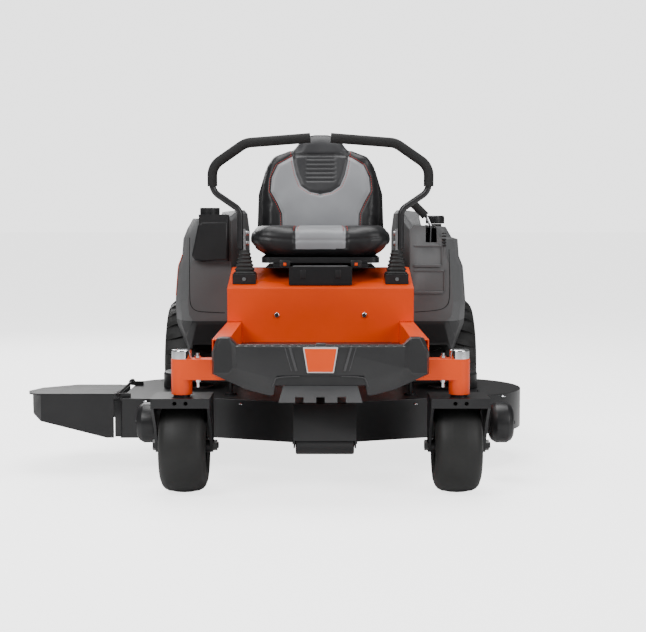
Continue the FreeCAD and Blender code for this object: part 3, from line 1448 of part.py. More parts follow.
# ---------------------------------------------------------------------------------------------------------
# Seat: hinge bracket, tilting plate with slides, moulded shell, cushion and backrest
# ---------------------------------------------------------------------------------------------------------
def make_seat():
    back = "seat_hinge_y + 14"
    wall = block(
        "hinge_wall",
        ("-108", "108"),
        ("seat_hinge_y - 30", "seat_hinge_y - 26"),
        ("console_top - 50", "seat_hinge_z + 5"),
    )
    foot_outline = [
        ("seat_hinge_y - 26", "console_top - 46"),
        ("seat_hinge_y - 30", "console_top - 50"),
        (back, "riser_top + seat_gap + (seat_hinge_y + 14 - riser_y) * console_rise / console_run"),
        (back, "riser_top + seat_gap + 4 + (seat_hinge_y + 14 - riser_y) * console_rise / console_run"),
    ]
    foot = side_plate("hinge_foot", foot_outline, "216", "-108")
    ear_outline = [
        ("seat_hinge_y - 30", "console_top - 48"),
        (back, "riser_top + 3 + (seat_hinge_y + 14 - riser_y) * console_rise / console_run"),
        (back, "seat_hinge_z + 5"),
        ("seat_hinge_y - 30", "seat_hinge_z + 5"),
    ]
    ears = [side_plate(f"hinge_ear_{side}", ear_outline, "6", f"{s} * 105 - 3") for side, s in SIDES]
    pin = rod("hinge_pin", "5", "216", ("-108", "seat_hinge_y", "seat_hinge_z"), "X")
    node("seat_hinge_bracket", fuse("hinge_bracket_solid", wall, foot, *ears, pin))

    y0 = "seat_hinge_y"
    skin = block(
        "seat_plate_skin",
        ("-seat_plate_half", "seat_plate_half"),
        ("seat_hinge_y + 16", f"{y0} + seat_plate_len"),
        ("seat_plate_z", "seat_plate_z + seat_plate_wall"),
    )
    tongue = block(
        "seat_plate_tongue",
        ("-95", "95"),
        (f"{y0}", "seat_hinge_y + 18"),
        ("seat_plate_z", "seat_plate_z + seat_plate_wall"),
    )
    barrel = rod("seat_plate_barrel", "9", "190", ("-95", "seat_hinge_y", "seat_hinge_z"), "X")
    hole = rod("seat_plate_hole", "5 + running_gap", "200", ("-100", "seat_hinge_y", "seat_hinge_z"), "X")
    tilting = cut("seat_plate_solid", fuse("seat_plate_welded", skin, tongue, barrel), hole)
    rails = []
    for side, s in SIDES:
        rails.append(
            block(
                f"slide_{side}",
                (f"{s} * 150 - 15", f"{s} * 150 + 15"),
                ("seat_hinge_y + 30", f"{y0} + seat_plate_len - 10"),
                ("seat_plate_z + seat_plate_wall", "seat_plate_z + seat_plate_wall + slide_high"),
            )
        )
    node("seat_plate", tilting, *rails)

    base = rounded(
        "shell_base_round",
        block(
            "shell_base",
            ("-cushion_half + 42", "cushion_half - 42"),
            ("cushion_y + 25", "back_y + 8"),
            ("shell_z", "shell_z + shell_wall"),
        ),
        "30",
        upright,
    )
    lean = Rotation(Vector(1, 0, 0), -mm("back_lean"))
    outline = back_outline(6)
    rear = plate(
        "shell_back",
        outline,
        "back_shell",
        at=("0", "back_y + back_thick + back_shell + 2", "cushion_z - 10"),
        turn=lean.multiply(PLANES["XZ"]),
    )
    link = block(
        "shell_link",
        ("-150", "150"),
        ("back_y - 4", "back_y + back_thick + 6"),
        ("shell_z", "shell_z + shell_wall - 4"),
    )
    heel = block(
        "shell_heel",
        ("-150", "150"),
        ("back_y + back_thick - 2", "back_y + back_thick + 8"),
        ("shell_z", "cushion_z + 24"),
    )
    node("seat_shell", fuse("seat_shell_solid", base, link, heel, rear))

    cushion = block(
        "cushion_block",
        ("-cushion_half", "cushion_half"),
        ("cushion_y", "cushion_y + cushion_len"),
        ("cushion_z", "cushion_z + cushion_high"),
    )
    soft = rounded(
        "cushion_round",
        cushion,
        "40",
        lambda e: upright(e) or e.BoundBox.ZMin > mm("cushion_z + cushion_high") - 1,
    )
    tucks = []
    for side, s in SIDES:
        wedge = [
            (f"{s} * (cushion_half - cushion_tuck)", "cushion_z - 1"),
            (f"{s} * (cushion_half + 1)", "cushion_z + cushion_high * 0.53"),
            (f"{s} * (cushion_half + 1)", "cushion_z - 1"),
        ]
        tucks.append(front_plate(f"cushion_tuck_{side}", wedge, "cushion_len + 20", "cushion_y - 10"))
    node("seat_cushion", cut("cushion_solid", soft, *tucks))
    pad_back = plate(
        "backrest_pad",
        back_outline(0),
        "back_thick",
        at=("0", "back_y + back_thick", "cushion_z + 24"),
        turn=lean.multiply(PLANES["XZ"]),
    )
    node(
        "seat_backrest",
        rounded("backrest_round", pad_back, "22", lambda e: e.Length > mm("back_high") * 0.4),
    )


def back_outline(extra):
    """The backrest's front view, measured up from its foot, larger by extra all round."""
    half = [
        (f"back_half - 24 - {extra}", "0"),
        (f"back_half + {extra}", "back_high * 0.24"),
        (f"back_half - 4 + {extra}", "back_high * 0.55"),
        (f"back_half - 30 + {extra}", "back_high * 0.76"),
        (f"back_half - 85 + {extra}", "back_high * 0.875"),
        (f"76 + {extra}", "back_high * 0.925"),
        (f"62 + {extra}", f"back_high * 0.98 + {extra / 2}"),
        ("40", f"back_high + {extra / 2}"),
    ]
    return mirrored_outline(half)


# ---------------------------------------------------------------------------------------------------------
# Control levers: pivot, arm, lap bar, grip, base and boot on each side
# ---------------------------------------------------------------------------------------------------------
def make_levers():
    bases = []
    boots = []
    slope = "console_rise / console_run"
    for side, s in SIDES:
        x = f"{s} * lever_x"
        hub = rod(f"pivot_hub_{side}", "15", "30", (x, "lever_y - 15", "lever_z"), "Y")
        shaft = rod(f"pivot_shaft_{side}", "8", "86", (f"{x} - 43", "lever_y", "lever_z"), "X")
        hole = rod(f"pivot_hole_{side}", "6 + running_gap", "34", (x, "lever_y - 17", "lever_z"), "Y")
        node(f"drive_pivot_{side}", cut(f"pivot_{side}", fuse(f"pivot_welded_{side}", hub, shaft), hole))

        ears = [
            block(
                f"arm_ear_{side}_{i}",
                (f"{x} - 8", f"{x} + 8"),
                (y, f"{y} + 5"),
                ("lever_z - 10", "lever_z + 26"),
            )
            for i, y in enumerate(("lever_y - 21", "lever_y + 16"))
        ]
        bridge = block(
            f"arm_bridge_{side}",
            (f"{x} - 8", f"{x} + 8"),
            ("lever_y - 21", "lever_y + 21"),
            ("lever_z + 18", "lever_z + 26"),
        )
        bar = block(
            f"arm_bar_{side}",
            (f"{x} - arm_wall / 2", f"{x} + arm_wall / 2"),
            ("lever_y - arm_w / 2", "lever_y + arm_w / 2"),
            ("lever_z + 20", "arm_top"),
        )
        pin = rod(f"arm_pin_{side}", "6", "50", (x, "lever_y - 25", "lever_z"), "Y")
        inner = f"{x} - ({s}) * (arm_wall / 2 + 5) - 3"
        heads = [
            rod(
                f"arm_bolt_{side}_{i}",
                "8",
                "6",
                (inner if s < 0 else f"{x} - arm_wall / 2 - 6", "lever_y", f"arm_top - {dz}"),
                "X",
            )
            for i, dz in enumerate((15, 50))
        ]
        if s < 0:
            heads = [
                rod(
                    f"arm_bolt_{side}_{i}_out",
                    "8",
                    "6",
                    (f"{x} + arm_wall / 2", "lever_y", f"arm_top - {dz}"),
                    "X",
                )
                for i, dz in enumerate((15, 50))
            ]
        arm = fuse(f"arm_{side}", *ears, bridge, bar, pin, *heads)

        bar_x = mm("lever_x + arm_wall / 2 + bar_r")
        reach, top, end, y = mm("bar_reach"), mm("bar_top"), mm("bar_end_gap"), mm("lever_y")
        low = mm("boot_top + 4")
        points = [
            (s * bar_x, y, low),
            (s * bar_x, y, top - 246),
            (s * reach, y - 2, top - 181),
            (s * reach, y - 8, top - 96),
            (s * (reach - 115), y - 16, top - 17),
            (s * end, y - 22, top),
        ]
        bends = [0, 38, 48, 70, 70, 0]
        node(f"control_lever_{side}", arm, sweep(f"bar_{side}", points, mm("bar_r"), bends))
        grip_points = [(s * reach, y - 3, top - 164)] + points[3:5] + [(s * (end - 3), y - 22, top)]
        outer = sweep(f"grip_outer_{side}", grip_points, mm("grip_r"), [0, 70, 70, 0])
        bar_core = sweep(f"grip_core_{side}", points, mm("bar_r"), bends)
        node(f"lap_grip_{side}", cut(f"grip_{side}", outer, bar_core))

        b = "lever_base_half"
        under = [
            (f"lever_y - {b} - 6", f"riser_top + seat_gap + (lever_y - {b} - 6 - riser_y) * {slope}"),
            (f"lever_y + {b} + 6", f"riser_top + seat_gap + (lever_y + {b} + 6 - riser_y) * {slope}"),
            (f"lever_y + {b} + 6", "lever_base_top"),
            (f"lever_y - {b} - 6", "lever_base_top"),
        ]
        solid = side_plate(f"lever_base_{side}_solid", under, f"{b} * 2", f"{x} - {b}")
        hole = block(
            f"lever_base_{side}_hole",
            (f"{x} - lever_slot_half", f"{x} + lever_slot_half"),
            ("lever_y - lever_slot_half", "lever_y + lever_slot_half"),
            ("riser_top - 10", "lever_base_top + 1"),
        )
        bases.append(cut(f"lever_base_{side}", solid, hole))
        skin = cone(
            f"boot_{side}_skin",
            "lever_base_half - 1",
            "26",
            "boot_high",
            (x, "lever_y", "lever_base_top"),
        )
        hollow = cone(
            f"boot_{side}_hollow",
            "lever_base_half - 5",
            "22",
            "boot_high",
            (x, "lever_y", "lever_base_top"),
        )
        boots.append(cut(f"boot_{side}", skin, hollow))
    node("lever_bases", *bases)
    node("lever_boots", *boots)
    ears = []
    for side, s in SIDES:
        for hand, dx in (("in", -34), ("out", 28)):
            ear = block(
                f"pivot_ear_{side}_{hand}",
                (f"{s} * lever_x + {dx}", f"{s} * lever_x + {dx} + 6"),
                ("lever_y - 18", "lever_y + 18"),
                ("rail_top + seat_gap + 60", "riser_top + 3"),
            )
            ears.append(ear)
        ears.append(
            block(
                f"pivot_floor_{side}",
                (f"{s} * lever_x - 34", f"{s} * lever_x + 34"),
                ("lever_y - 18", "lever_y + 18"),
                ("rail_top + 55", "rail_top + 62"),
            )
        )
        ears.append(
            block(
                f"pivot_post_{side}",
                (f"{s} * lever_x - 20", f"{s} * lever_x + 40"),
                ("lever_y - 18", "lever_y + 18"),
                ("rail_top", "rail_top + 56"),
            )
        )
    bores = [
        rod(
            f"pivot_bore_{side}",
            "8 + running_gap",
            "100",
            (f"{s} * lever_x - 50", "lever_y", "lever_z"),
            "X",
        )
        for side, s in SIDES
    ]
    left = cut("pivot_bracket_left", fuse("pivot_bracket_left_w", *ears[:4]), bores[0])
    right = cut("pivot_bracket_right", fuse("pivot_bracket_right_w", *ears[4:]), bores[1])
    pin = rod("lift_pin", "6", "60", ("lift_x - 30", "lift_y", "lift_z"), "X")
    ears = [
        block(
            f"lift_ear_{i}",
            (f"lift_x {dx}", f"lift_x {dx} + 5"),
            ("lift_y - 20", "lift_y + 20"),
            ("rail_top + 100", "lift_z + 20"),
        )
        for i, dx in enumerate(("- 20", "+ 15"))
    ]
    foot = block(
        "lift_foot",
        ("fender_inner + fender_wall", "lift_x + 20"),
        ("lift_y - 20", "lift_y"),
        ("rail_top + 95", "rail_top + 100"),
    )
    node("lever_brackets", left, right, fuse("lift_bracket_solid", pin, *ears, foot))


# ---------------------------------------------------------------------------------------------------------
# Cutting deck: shell, chute, housings, blades, belt, covers, rollers and their brackets
# ---------------------------------------------------------------------------------------------------------
def deck_blank(name, radius, base, height, inset="0"):
    """The plan shape of the deck: a lobe round each blade, joined by tangent walls, and a discharge box."""
    ahead = f"({radius}) * spindle_x / spindle_run"
    beside = f"({radius}) * spindle_step / spindle_run"
    centre = "spindle_y - spindle_step"
    half = [
        (beside, f"{centre} - {ahead}"),
        (f"spindle_x + {beside}", f"spindle_y - {ahead}"),
        ("spindle_x", f"spindle_y + {radius}"),
    ]
    core = plate(f"{name}_core", mirrored_outline(half), height, at=("0", "0", base))
    spots = (("a", "spindle_x", "spindle_y"), ("b", "-spindle_x", "spindle_y"), ("c", "0", centre))
    lobes = [rod(f"{name}_lobe_{k}", radius, height, (x, y, base)) for k, x, y in spots]
    box_x = ("-deck_trim_x - 60", "-spindle_x")
    mouth = block(
        f"{name}_mouth",
        box_x,
        (f"deck_box_front + {inset}", "spindle_y"),
        (base, f"({base}) + ({height})"),
    )
    return fuse(name, core, *lobes, mouth)


SPINDLES = (
    ("left", "spindle_x", "spindle_y"),
    ("centre", "0", "spindle_y - spindle_step"),
    ("right", "-spindle_x", "spindle_y"),
)


def make_deck():
    skin = deck_blank("deck_skin", "lobe_r", "deck_base", "deck_depth")
    cavity = deck_blank(
        "deck_cavity", "(lobe_r - deck_wall)", "deck_base", "deck_depth - deck_wall", "deck_wall"
    )
    holes = [
        rod(
            f"deck_hole_{k}", "housing_r + slip_gap", "deck_wall * 3", (x, y, "deck_top - deck_wall * 2")
        )
        for k, x, y in SPINDLES
    ]
    hangers = [
        rod(
            f"deck_hanger_hole_{side}_{i}",
            "hanger_r",
            "deck_wall",
            (f"{s} * rail_x", y, "deck_top - deck_wall"),
        )
        for side, s in SIDES
        for i, y in enumerate(("hanger_front_y", "hanger_rear_y"))
    ]
    trim = block(
        "deck_trim",
        ("-deck_half - 70", "-deck_trim_x"),
        ("deck_box_front - 30", "spindle_y + 260"),
        ("deck_base - 1", "deck_top + 1"),
    )
    node("deck_shell", cut("deck_solid", skin, cavity, *holes, *hangers, trim))

    housings = []
    for k, x, y in SPINDLES:
        outline = [
            ("deck_top - 38", "spindle_r + running_gap"),
            ("deck_top - 38", "housing_r - 4"),
            ("deck_top - 6", "housing_r"),
            ("deck_top", "housing_r"),
            ("deck_top", "housing_flange_r"),
            ("deck_top + 7", "housing_flange_r"),
            ("deck_top + 12", "housing_r"),
            ("pulley_z - 4", "housing_r - 4"),
            ("pulley_z - 4", "spindle_r + running_gap"),
        ]
        housings.append(turned(f"housing_{k}", outline, (x, y, "0"), "Z"))
        sheave = [
            ("blade_z - 12", "0"),
            ("blade_z - 12", "18"),
            ("blade_z", "18"),
            ("blade_z", "spindle_r"),
            ("pulley_z - 2", "spindle_r"),
            ("pulley_z - 2", "spindle_r + 10"),
            ("pulley_z", "spindle_r + 10"),
            ("pulley_z", "pulley_r"),
            ("pulley_z + 3", "pulley_r"),
            ("pulley_z + pulley_w / 2", "pulley_r - 14"),
            ("pulley_z + pulley_w - 3", "pulley_r"),
            ("pulley_z + pulley_w", "pulley_r"),
            ("pulley_z + pulley_w", "20"),
            ("pulley_z + pulley_w + 3", "18"),
            ("pulley_z + pulley_w + 3", "0"),
        ]
        arbor = turned(f"arbor_{k}", sheave, (x, y, "0"), "Z")
        bar = block(
            f"blade_bar_{k}",
            (
                f"{x} - sqrt(blade_r * blade_r - blade_w * blade_w / 4)",
                f"{x} + sqrt(blade_r * blade_r - blade_w * blade_w / 4)",
            ),
            (f"{y} - blade_w / 2", f"{y} + blade_w / 2"),
            ("blade_z", "blade_z + blade_wall"),
        )
        wings = []
        for hand, sx in (("a", 1), ("b", -1)):
            lo = f"{x} + {sx} * blade_r * 0.8 - 34"
            wings.append(
                block(
                    f"blade_wing_{k}_{hand}",
                    (lo, f"{lo} + 68"),
                    (f"{y} + {sx} * (blade_w / 2 - 3) - 3", f"{y} + {sx} * (blade_w / 2 - 3) + 3"),
                    ("blade_z", "blade_z + 24"),
                )
            )
        blade = cut(
            f"blade_{k}_solid",
            fuse(f"blade_{k}_formed", bar, *wings),
            rod(f"blade_{k}_eye", "spindle_r", "blade_wall", (x, y, "blade_z")),
        )
        node(f"blade_spindle_{k}", arbor, blade)
    node("spindle_housings", *housings)

    covers = []
    for side, s in SIDES:
        x, y = f"{s} * spindle_x", "spindle_y"
        drum = rod(f"cover_{side}_drum", "cover_r", "54", (x, y, "deck_top + seat_gap"))
        drum = rounded(
            f"cover_{side}_round",
            drum,
            "10",
            lambda e: e.BoundBox.ZMin > mm("deck_top + 50") and not upright(e),
        )
        inside = rod(f"cover_{side}_inside", "cover_r - 4", "54 - 4 + seat_gap", (x, y, "deck_top"))
        low, high = ("spindle_x - cover_r - 5", "spindle_x - 20") if s > 0 else (
            "-spindle_x + 20", "-spindle_x + cover_r + 5"
        )
        door = block(
            f"cover_{side}_door",
            (low, high),
            ("spindle_y - cover_r - 5", "spindle_y + cover_r + 5"),
            ("deck_top", "deck_top + 47"),
        )
        low, high = ("spindle_x - 40", "spindle_x + 12") if s > 0 else (
            "-spindle_x - 12", "-spindle_x + 40"
        )
        belt_door = block(
            f"cover_{side}_belt_door",
            (low, high),
            ("spindle_y - cover_r - 5", "spindle_y - 70"),
            ("deck_top", "deck_top + 47"),
        )
        covers.append(cut(f"cover_{side}", drum, inside, door, belt_door))
    node("belt_covers", *covers)

    # belt: round the front of the three spindles, in past two idler points and back to the crank pulley
    sx, sy, step, run, r = mm("spindle_x"), mm("spindle_y"), mm("spindle_step"), mm("spindle_run"), mm(
        "pulley_r"
    )
    ey, er, z = mm("engine_y"), mm("crank_pulley_r"), mm("pulley_z + pulley_w / 2")
    idler = Vector(er, sy + 215, z)
    reach = Vector(sx, sy, z) - idler
    rear_lift = _asin(r / reach.Length)
    rear = Rotation(Vector(0, 0, 1), rear_lift).multVec(reach)
    front_point = Vector(0, sy - step - r * run / sx, z)
    front = Vector(sx, step, 0)
    along = (front_point - idler).cross(front).z / rear.cross(front).z
    outer = idler + rear * along
    half = [(er, ey + er), (idler.x, idler.y), (outer.x, outer.y)]
    loop = [(x, y, z) for x, y in half] + [(0, front_point.y, z)] + [(-x, y, z) for x, y in reversed(half)]
    corner = [er - 0.5, 45, r, r, r, 45, er - 0.5]
    node(
        "deck_belt",
        sweep("belt", loop, 0, corner, profile=(mm("belt_w") * 0.75, mm("belt_high")), closed=True),
    )

    parts = [
        rod(
            "chute_rod",
            "chute_rod_r",
            "chute_len + 24",
            ("-chute_hinge_x", "chute_front - 12", "chute_hinge_z"),
            "Y",
        )
    ]
    for i, y in enumerate(("chute_front + 34", "chute_front + chute_len - 40")):
        span = ("-chute_hinge_x", "-deck_trim_x + 30")
        parts.append(block(f"chute_ear_{i}", span, (y, f"{y} + 6"), ("deck_top", "chute_hinge_z + 5")))
        parts.append(
            rod(f"chute_eye_{i}", "chute_eye_r", "6", ("-chute_hinge_x", y, "chute_hinge_z"), "Y")
        )
    brackets = [fuse("chute_hinge_solid", *parts)]
    for side, s in SIDES:
        for i, y in enumerate(("hanger_front_y", "hanger_rear_y")):
            at = (f"{s} * rail_x", y)
            stem = rod(
                f"hanger_{side}_{i}_stem",
                "hanger_r",
                "rail_top - 5 - deck_top + deck_wall",
                (*at, "deck_top - deck_wall"),
            )
            foot = rod(f"hanger_{side}_{i}_foot", "20", "6", (*at, "deck_top"))
            brackets.append(fuse(f"hanger_{side}_{i}", stem, foot))

    rollers = (("left", "roller_left_x"), ("right", "-roller_right_x"))
    for side, x in rollers:
        outline = [
            ("-roller_w / 2", "roller_axle_r + running_gap"),
            ("-roller_w / 2", "roller_r - 18"),
            ("-roller_w / 2 + 6", "roller_r - 8"),
            ("-roller_w / 2 + 20", "roller_r"),
            ("roller_w / 2 - 20", "roller_r"),
            ("roller_w / 2 - 6", "roller_r - 8"),
            ("roller_w / 2", "roller_r - 18"),
            ("roller_w / 2", "roller_axle_r + running_gap"),
        ]
        node(f"scalp_roller_{side}", turned(f"roller_{side}", outline, (x, "roller_y", "roller_z"), "X"))
        arm = [
            ("roller_y - 16", "roller_z - 16"),
            ("roller_y + 16", "roller_z - 16"),
            ("spindle_y - 115", "deck_top - 30"),
            ("spindle_y - 115", "deck_top + 6"),
            ("roller_y + 60", "deck_top - 18"),
            ("roller_y - 16", "roller_z + 16"),
        ]
        inward = -1 if side == "left" else 1
        face = f"{x} + {inward} * (roller_w / 2 + 4) - 3"
        leg = side_plate(f"roller_arm_{side}", arm, "6", face)
        bite = deck_blank(f"roller_bite_{side}", "lobe_r", "deck_base", "deck_depth")
        axle = rod(
            f"roller_axle_{side}",
            "roller_axle_r",
            "roller_w + 16",
            (f"{x} - roller_w / 2 - 8", "roller_y", "roller_z"),
            "X",
        )
        brackets.append(cut(f"roller_bracket_{side}", fuse(f"roller_bracket_{side}_w", leg, axle), bite))
    nose = [
        ("-nose_roller_half", "roller_axle_r + running_gap"),
        ("-nose_roller_half", "nose_roller_r - 3"),
        ("-nose_roller_half + 3", "nose_roller_r"),
        ("nose_roller_half - 3", "nose_roller_r"),
        ("nose_roller_half", "nose_roller_r - 3"),
        ("nose_roller_half", "roller_axle_r + running_gap"),
    ]
    nose_z = "deck_base - 7 + nose_roller_r"
    node("nose_roller", turned("nose_roller_body", nose, ("nose_x", "nose_roller_y", nose_z), "X"))
    deck_front = "spindle_y - spindle_step - lobe_r"
    cheeks = []
    for side, s in SIDES:
        cheek = [
            ("nose_guard_y + nose_wall", "deck_base + 17"),
            ("nose_guard_y + nose_wall", "deck_base + 106"),
            ("nose_guard_y + 18", "deck_top + 20"),
            (f"{deck_front} - 60", "deck_top - 2"),
            (f"{deck_front} + 12", "deck_top - 6"),
            (f"{deck_front} + 12", "deck_base + 20"),
            ("nose_roller_y + 20", "deck_base + 10"),
        ]
        face = f"nose_x + {s} * (nose_roller_half + nose_wall) - nose_wall / 2"
        cheeks.append(side_plate(f"nose_cheek_{side}", cheek, "nose_wall", face))
    guard = [
        ("nose_guard_y", "deck_base + 40"),
        ("nose_guard_y", "deck_base + 106"),
        ("nose_guard_y + 14", "deck_top + 22"),
        ("nose_guard_y + 14 + nose_wall", "deck_top + 22"),
        ("nose_guard_y + nose_wall", "deck_base + 105"),
        ("nose_guard_y + nose_wall", "deck_base + 40"),
    ]
    half = "nose_roller_half + nose_wall * 1.5"
    shield = side_plate("nose_shield", guard, f"({half}) * 2", f"nose_x - ({half})")
    nose_axle = rod(
        "nose_axle",
        "roller_axle_r",
        "nose_roller_half * 2 + 20",
        ("nose_x - nose_roller_half - 10", "nose_roller_y", nose_z),
        "X",
    )
    bite = deck_blank("nose_bite", "lobe_r", "deck_base", "deck_depth")
    brackets.append(cut("nose_bracket", fuse("nose_bracket_w", *cheeks, shield, nose_axle), bite))
    node("deck_brackets", *brackets)


def chute_plan(name, grow, top, base="deck_base - 1"):
    """The chute seen from above as a prism: it flares from its front edge to its widest point."""
    wide = f"(chute_tip - chute_lip + ({grow}))"
    front = "chute_front" if grow == "0" else f"chute_front + max(0; -({grow}))"
    back = f"chute_front + chute_len + ({grow})"
    outline = [
        ("-chute_hinge_x + 24", front),
        (f"-{wide} + 51", front),
        (f"-{wide} + 18", f"{front} + 42"),
        (f"-{wide}", f"{front} + 122"),
        (f"-{wide} + 18", f"{front} + 262"),
        (f"-{wide} + 113", back),
        ("-chute_hinge_x + 24", back),
    ]
    return plate(name, outline, f"({top}) - ({base})", at=("0", "0", base))


def make_chute():
    root = "-(chute_hinge_x + 7)"
    wide = "(chute_tip - chute_lip)"

    def front_view(name, inset, root_x, bottom):
        outline = [
            (root_x, f"deck_base + 2 + {bottom}"),
            (f"-{wide} + 260", f"deck_base + 2 + {bottom}"),
            (f"-{wide} + 48", f"deck_base + 56 + {bottom}"),
            (f"-{wide} + 22", f"deck_base + 72 + {bottom}"),
            (f"-{wide}", f"deck_base + 96 + {bottom}"),
            (f"-{wide}", f"chute_top + 1 - {inset}"),
            (root_x, f"chute_top + 1 - {inset}"),
        ]
        return front_plate(name, outline, "chute_len + 40", "chute_front - 20")

    def side_view(name, inset):
        outline = [
            ("chute_front - 20", "deck_base - 10"),
            ("chute_front - 20", f"chute_top - {inset}"),
            ("chute_front + chute_len + 20", f"chute_top - chute_fall - {inset}"),
            ("chute_front + chute_len + 20", "deck_base - 10"),
        ]
        return side_plate(name, outline, "chute_tip + 20", "-(chute_tip + 20)")

    outer = common(
        "chute_outer",
        chute_plan("chute_outer_plan", "0", "chute_top + 2"),
        front_view("chute_outer_front", "0", root, "0"),
        side_view("chute_outer_side", "0"),
    )
    inner = common(
        "chute_inner",
        chute_plan("chute_inner_plan", "-chute_wall", "chute_top + 2", "deck_base - 12"),
        front_view("chute_inner_front", "chute_wall", root, "- 9"),
        side_view("chute_inner_side", "chute_wall"),
    )
    lip = cut(
        "chute_rim",
        common(
            "chute_rim_band",
            chute_plan("chute_rim_plan", "chute_lip", "chute_top + 2"),
            side_view("chute_rim_side", "0"),
            block(
                "chute_rim_span",
                ("-chute_tip", "-chute_hinge_x - 40"),
                ("chute_front", "chute_front + chute_len + chute_lip"),
                ("chute_top - 40", "chute_top + 1"),
            ),
        ),
        side_view("chute_rim_under", "chute_wall"),
    )
    knuckles = [
        rod(f"chute_knuckle_{i}", "chute_rod_r + 4.5", "26", ("-chute_hinge_x", y, "chute_hinge_z"), "Y")
        for i, y in enumerate(("chute_front", "chute_front + chute_len - 26"))
    ]
    webs = [
        block(
            f"chute_web_{i}",
            ("-chute_hinge_x - 9", "-chute_hinge_x"),
            (y, f"{y} + 26"),
            ("chute_hinge_z - 9", "chute_hinge_z - 3"),
        )
        for i, y in enumerate(("chute_front", "chute_front + chute_len - 26"))
    ]
    bore = rod(
        "chute_bore",
        "chute_rod_r + running_gap",
        "chute_len + 2",
        ("-chute_hinge_x", "chute_front - 1", "chute_hinge_z"),
        "Y",
    )
    node(
        "chute_deflector",
        cut(
            "chute_solid",
            fuse("chute_welded", cut("chute_shell", outer, inner), lip, *webs, *knuckles),
            bore,
        ),
    )


def make_fasteners():
    """Bright bolts that show on the body panel, the lever bases and the front beam."""
    bolts = []
    for side, s in SIDES:
        at = (f"{s} * panel_bolt_x", "riser_y - 6", "panel_bolt_z")
        head = rounded(
            f"panel_bolt_{side}",
            rod(f"panel_bolt_{side}_head", "9", "6", at, "Y"),
            "3",
            lambda e: e.BoundBox.YMax < mm("riser_y") - 5,
        )
        bolts.append(head)
        at = (f"{s} * lever_x", "lever_y - lever_base_half - 10", "(riser_top + lever_base_top) / 2 + 6")
        bolts.append(hexagon(f"base_bolt_{side}", "7", "4", at, "Y"))
        at = (f"{s} * beam_bolt_x", "-caster_trail")
        bolts.append(
            fuse(
                f"beam_bolt_{side}",
                rod(f"beam_bolt_{side}_shank", "5", "beam_size + 40", (*at, "beam_z - 24")),
                hexagon(f"beam_bolt_{side}_head", "9", "8", (*at, "beam_z + beam_size")),
                hexagon(f"beam_bolt_{side}_nut", "9", "9", (*at, "beam_z - 9")),
            )
        )
    node("bright_bolts", *bolts)


def main():
    make_frame()
    make_front_beam()
    make_casters()
    make_front()
    make_body_panel()
    make_fenders()
    make_small_controls()
    make_drive()
    make_engine()
    make_seat()
    make_levers()
    make_deck()
    make_chute()
    make_fasteners()
    doc.recompute()
    failed = [o.Label for o in doc.Objects if "Invalid" in o.State or "Error" in o.State]
    if failed:
        raise RuntimeError(f"these objects failed: {failed}")
    os.makedirs("parts", exist_ok=True)
    for item in NODES:
        shape = item.Shape
        if shape.isNull() or not shape.isValid() or not shape.Solids:
            raise RuntimeError(f"{item.Label} is not a valid solid")
        shape.exportStep(f"parts/{item.Label}.step")
    print(f"{len(NODES)} sub-parts written")


main()
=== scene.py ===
"""Looks for a zero turn mower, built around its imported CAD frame.

Lengths inside the classes are millimetres in the maker's own frame: x from the centre plane, positive to the
operator's left, y behind the caster axles, z above the ground. ``place`` turns them into the row's metres.
"""

import json
import logging
import math
from dataclasses import dataclass, field
from enum import Enum
from typing import Callable, Iterable, Sequence

import bmesh
import bpy
from mathutils import Matrix, Vector
from mathutils.bvhtree import BVHTree

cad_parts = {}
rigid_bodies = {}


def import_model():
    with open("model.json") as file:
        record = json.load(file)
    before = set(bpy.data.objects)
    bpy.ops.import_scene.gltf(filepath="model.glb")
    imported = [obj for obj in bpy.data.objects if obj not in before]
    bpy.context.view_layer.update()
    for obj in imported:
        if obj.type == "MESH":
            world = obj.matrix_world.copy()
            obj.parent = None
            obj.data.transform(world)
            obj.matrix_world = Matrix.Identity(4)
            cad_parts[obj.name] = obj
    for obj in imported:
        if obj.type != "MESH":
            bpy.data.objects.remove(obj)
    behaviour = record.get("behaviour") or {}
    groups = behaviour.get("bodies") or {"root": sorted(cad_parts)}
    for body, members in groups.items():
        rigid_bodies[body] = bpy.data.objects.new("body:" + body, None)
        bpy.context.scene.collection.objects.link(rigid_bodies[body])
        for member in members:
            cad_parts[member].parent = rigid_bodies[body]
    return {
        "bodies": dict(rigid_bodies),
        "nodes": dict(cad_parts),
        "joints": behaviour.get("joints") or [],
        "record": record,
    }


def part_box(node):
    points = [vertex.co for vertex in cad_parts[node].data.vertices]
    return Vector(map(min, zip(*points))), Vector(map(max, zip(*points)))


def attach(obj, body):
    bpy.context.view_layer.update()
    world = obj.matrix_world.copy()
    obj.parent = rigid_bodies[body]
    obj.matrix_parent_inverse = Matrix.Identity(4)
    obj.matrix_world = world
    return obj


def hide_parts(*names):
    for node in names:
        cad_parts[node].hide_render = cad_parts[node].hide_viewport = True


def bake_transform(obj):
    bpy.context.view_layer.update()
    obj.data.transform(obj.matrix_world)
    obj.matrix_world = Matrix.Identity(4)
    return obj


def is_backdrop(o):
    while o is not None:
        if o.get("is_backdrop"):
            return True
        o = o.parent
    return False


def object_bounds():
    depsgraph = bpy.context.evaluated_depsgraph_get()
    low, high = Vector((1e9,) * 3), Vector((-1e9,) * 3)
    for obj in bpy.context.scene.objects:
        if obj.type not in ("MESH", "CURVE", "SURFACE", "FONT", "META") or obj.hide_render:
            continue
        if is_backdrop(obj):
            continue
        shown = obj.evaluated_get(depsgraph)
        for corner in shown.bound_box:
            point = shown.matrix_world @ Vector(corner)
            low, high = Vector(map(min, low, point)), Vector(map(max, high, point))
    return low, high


LOG = logging.getLogger("mower")
ORIGIN = Vector((0.137, -0.775, 0.0))
MM = 0.001
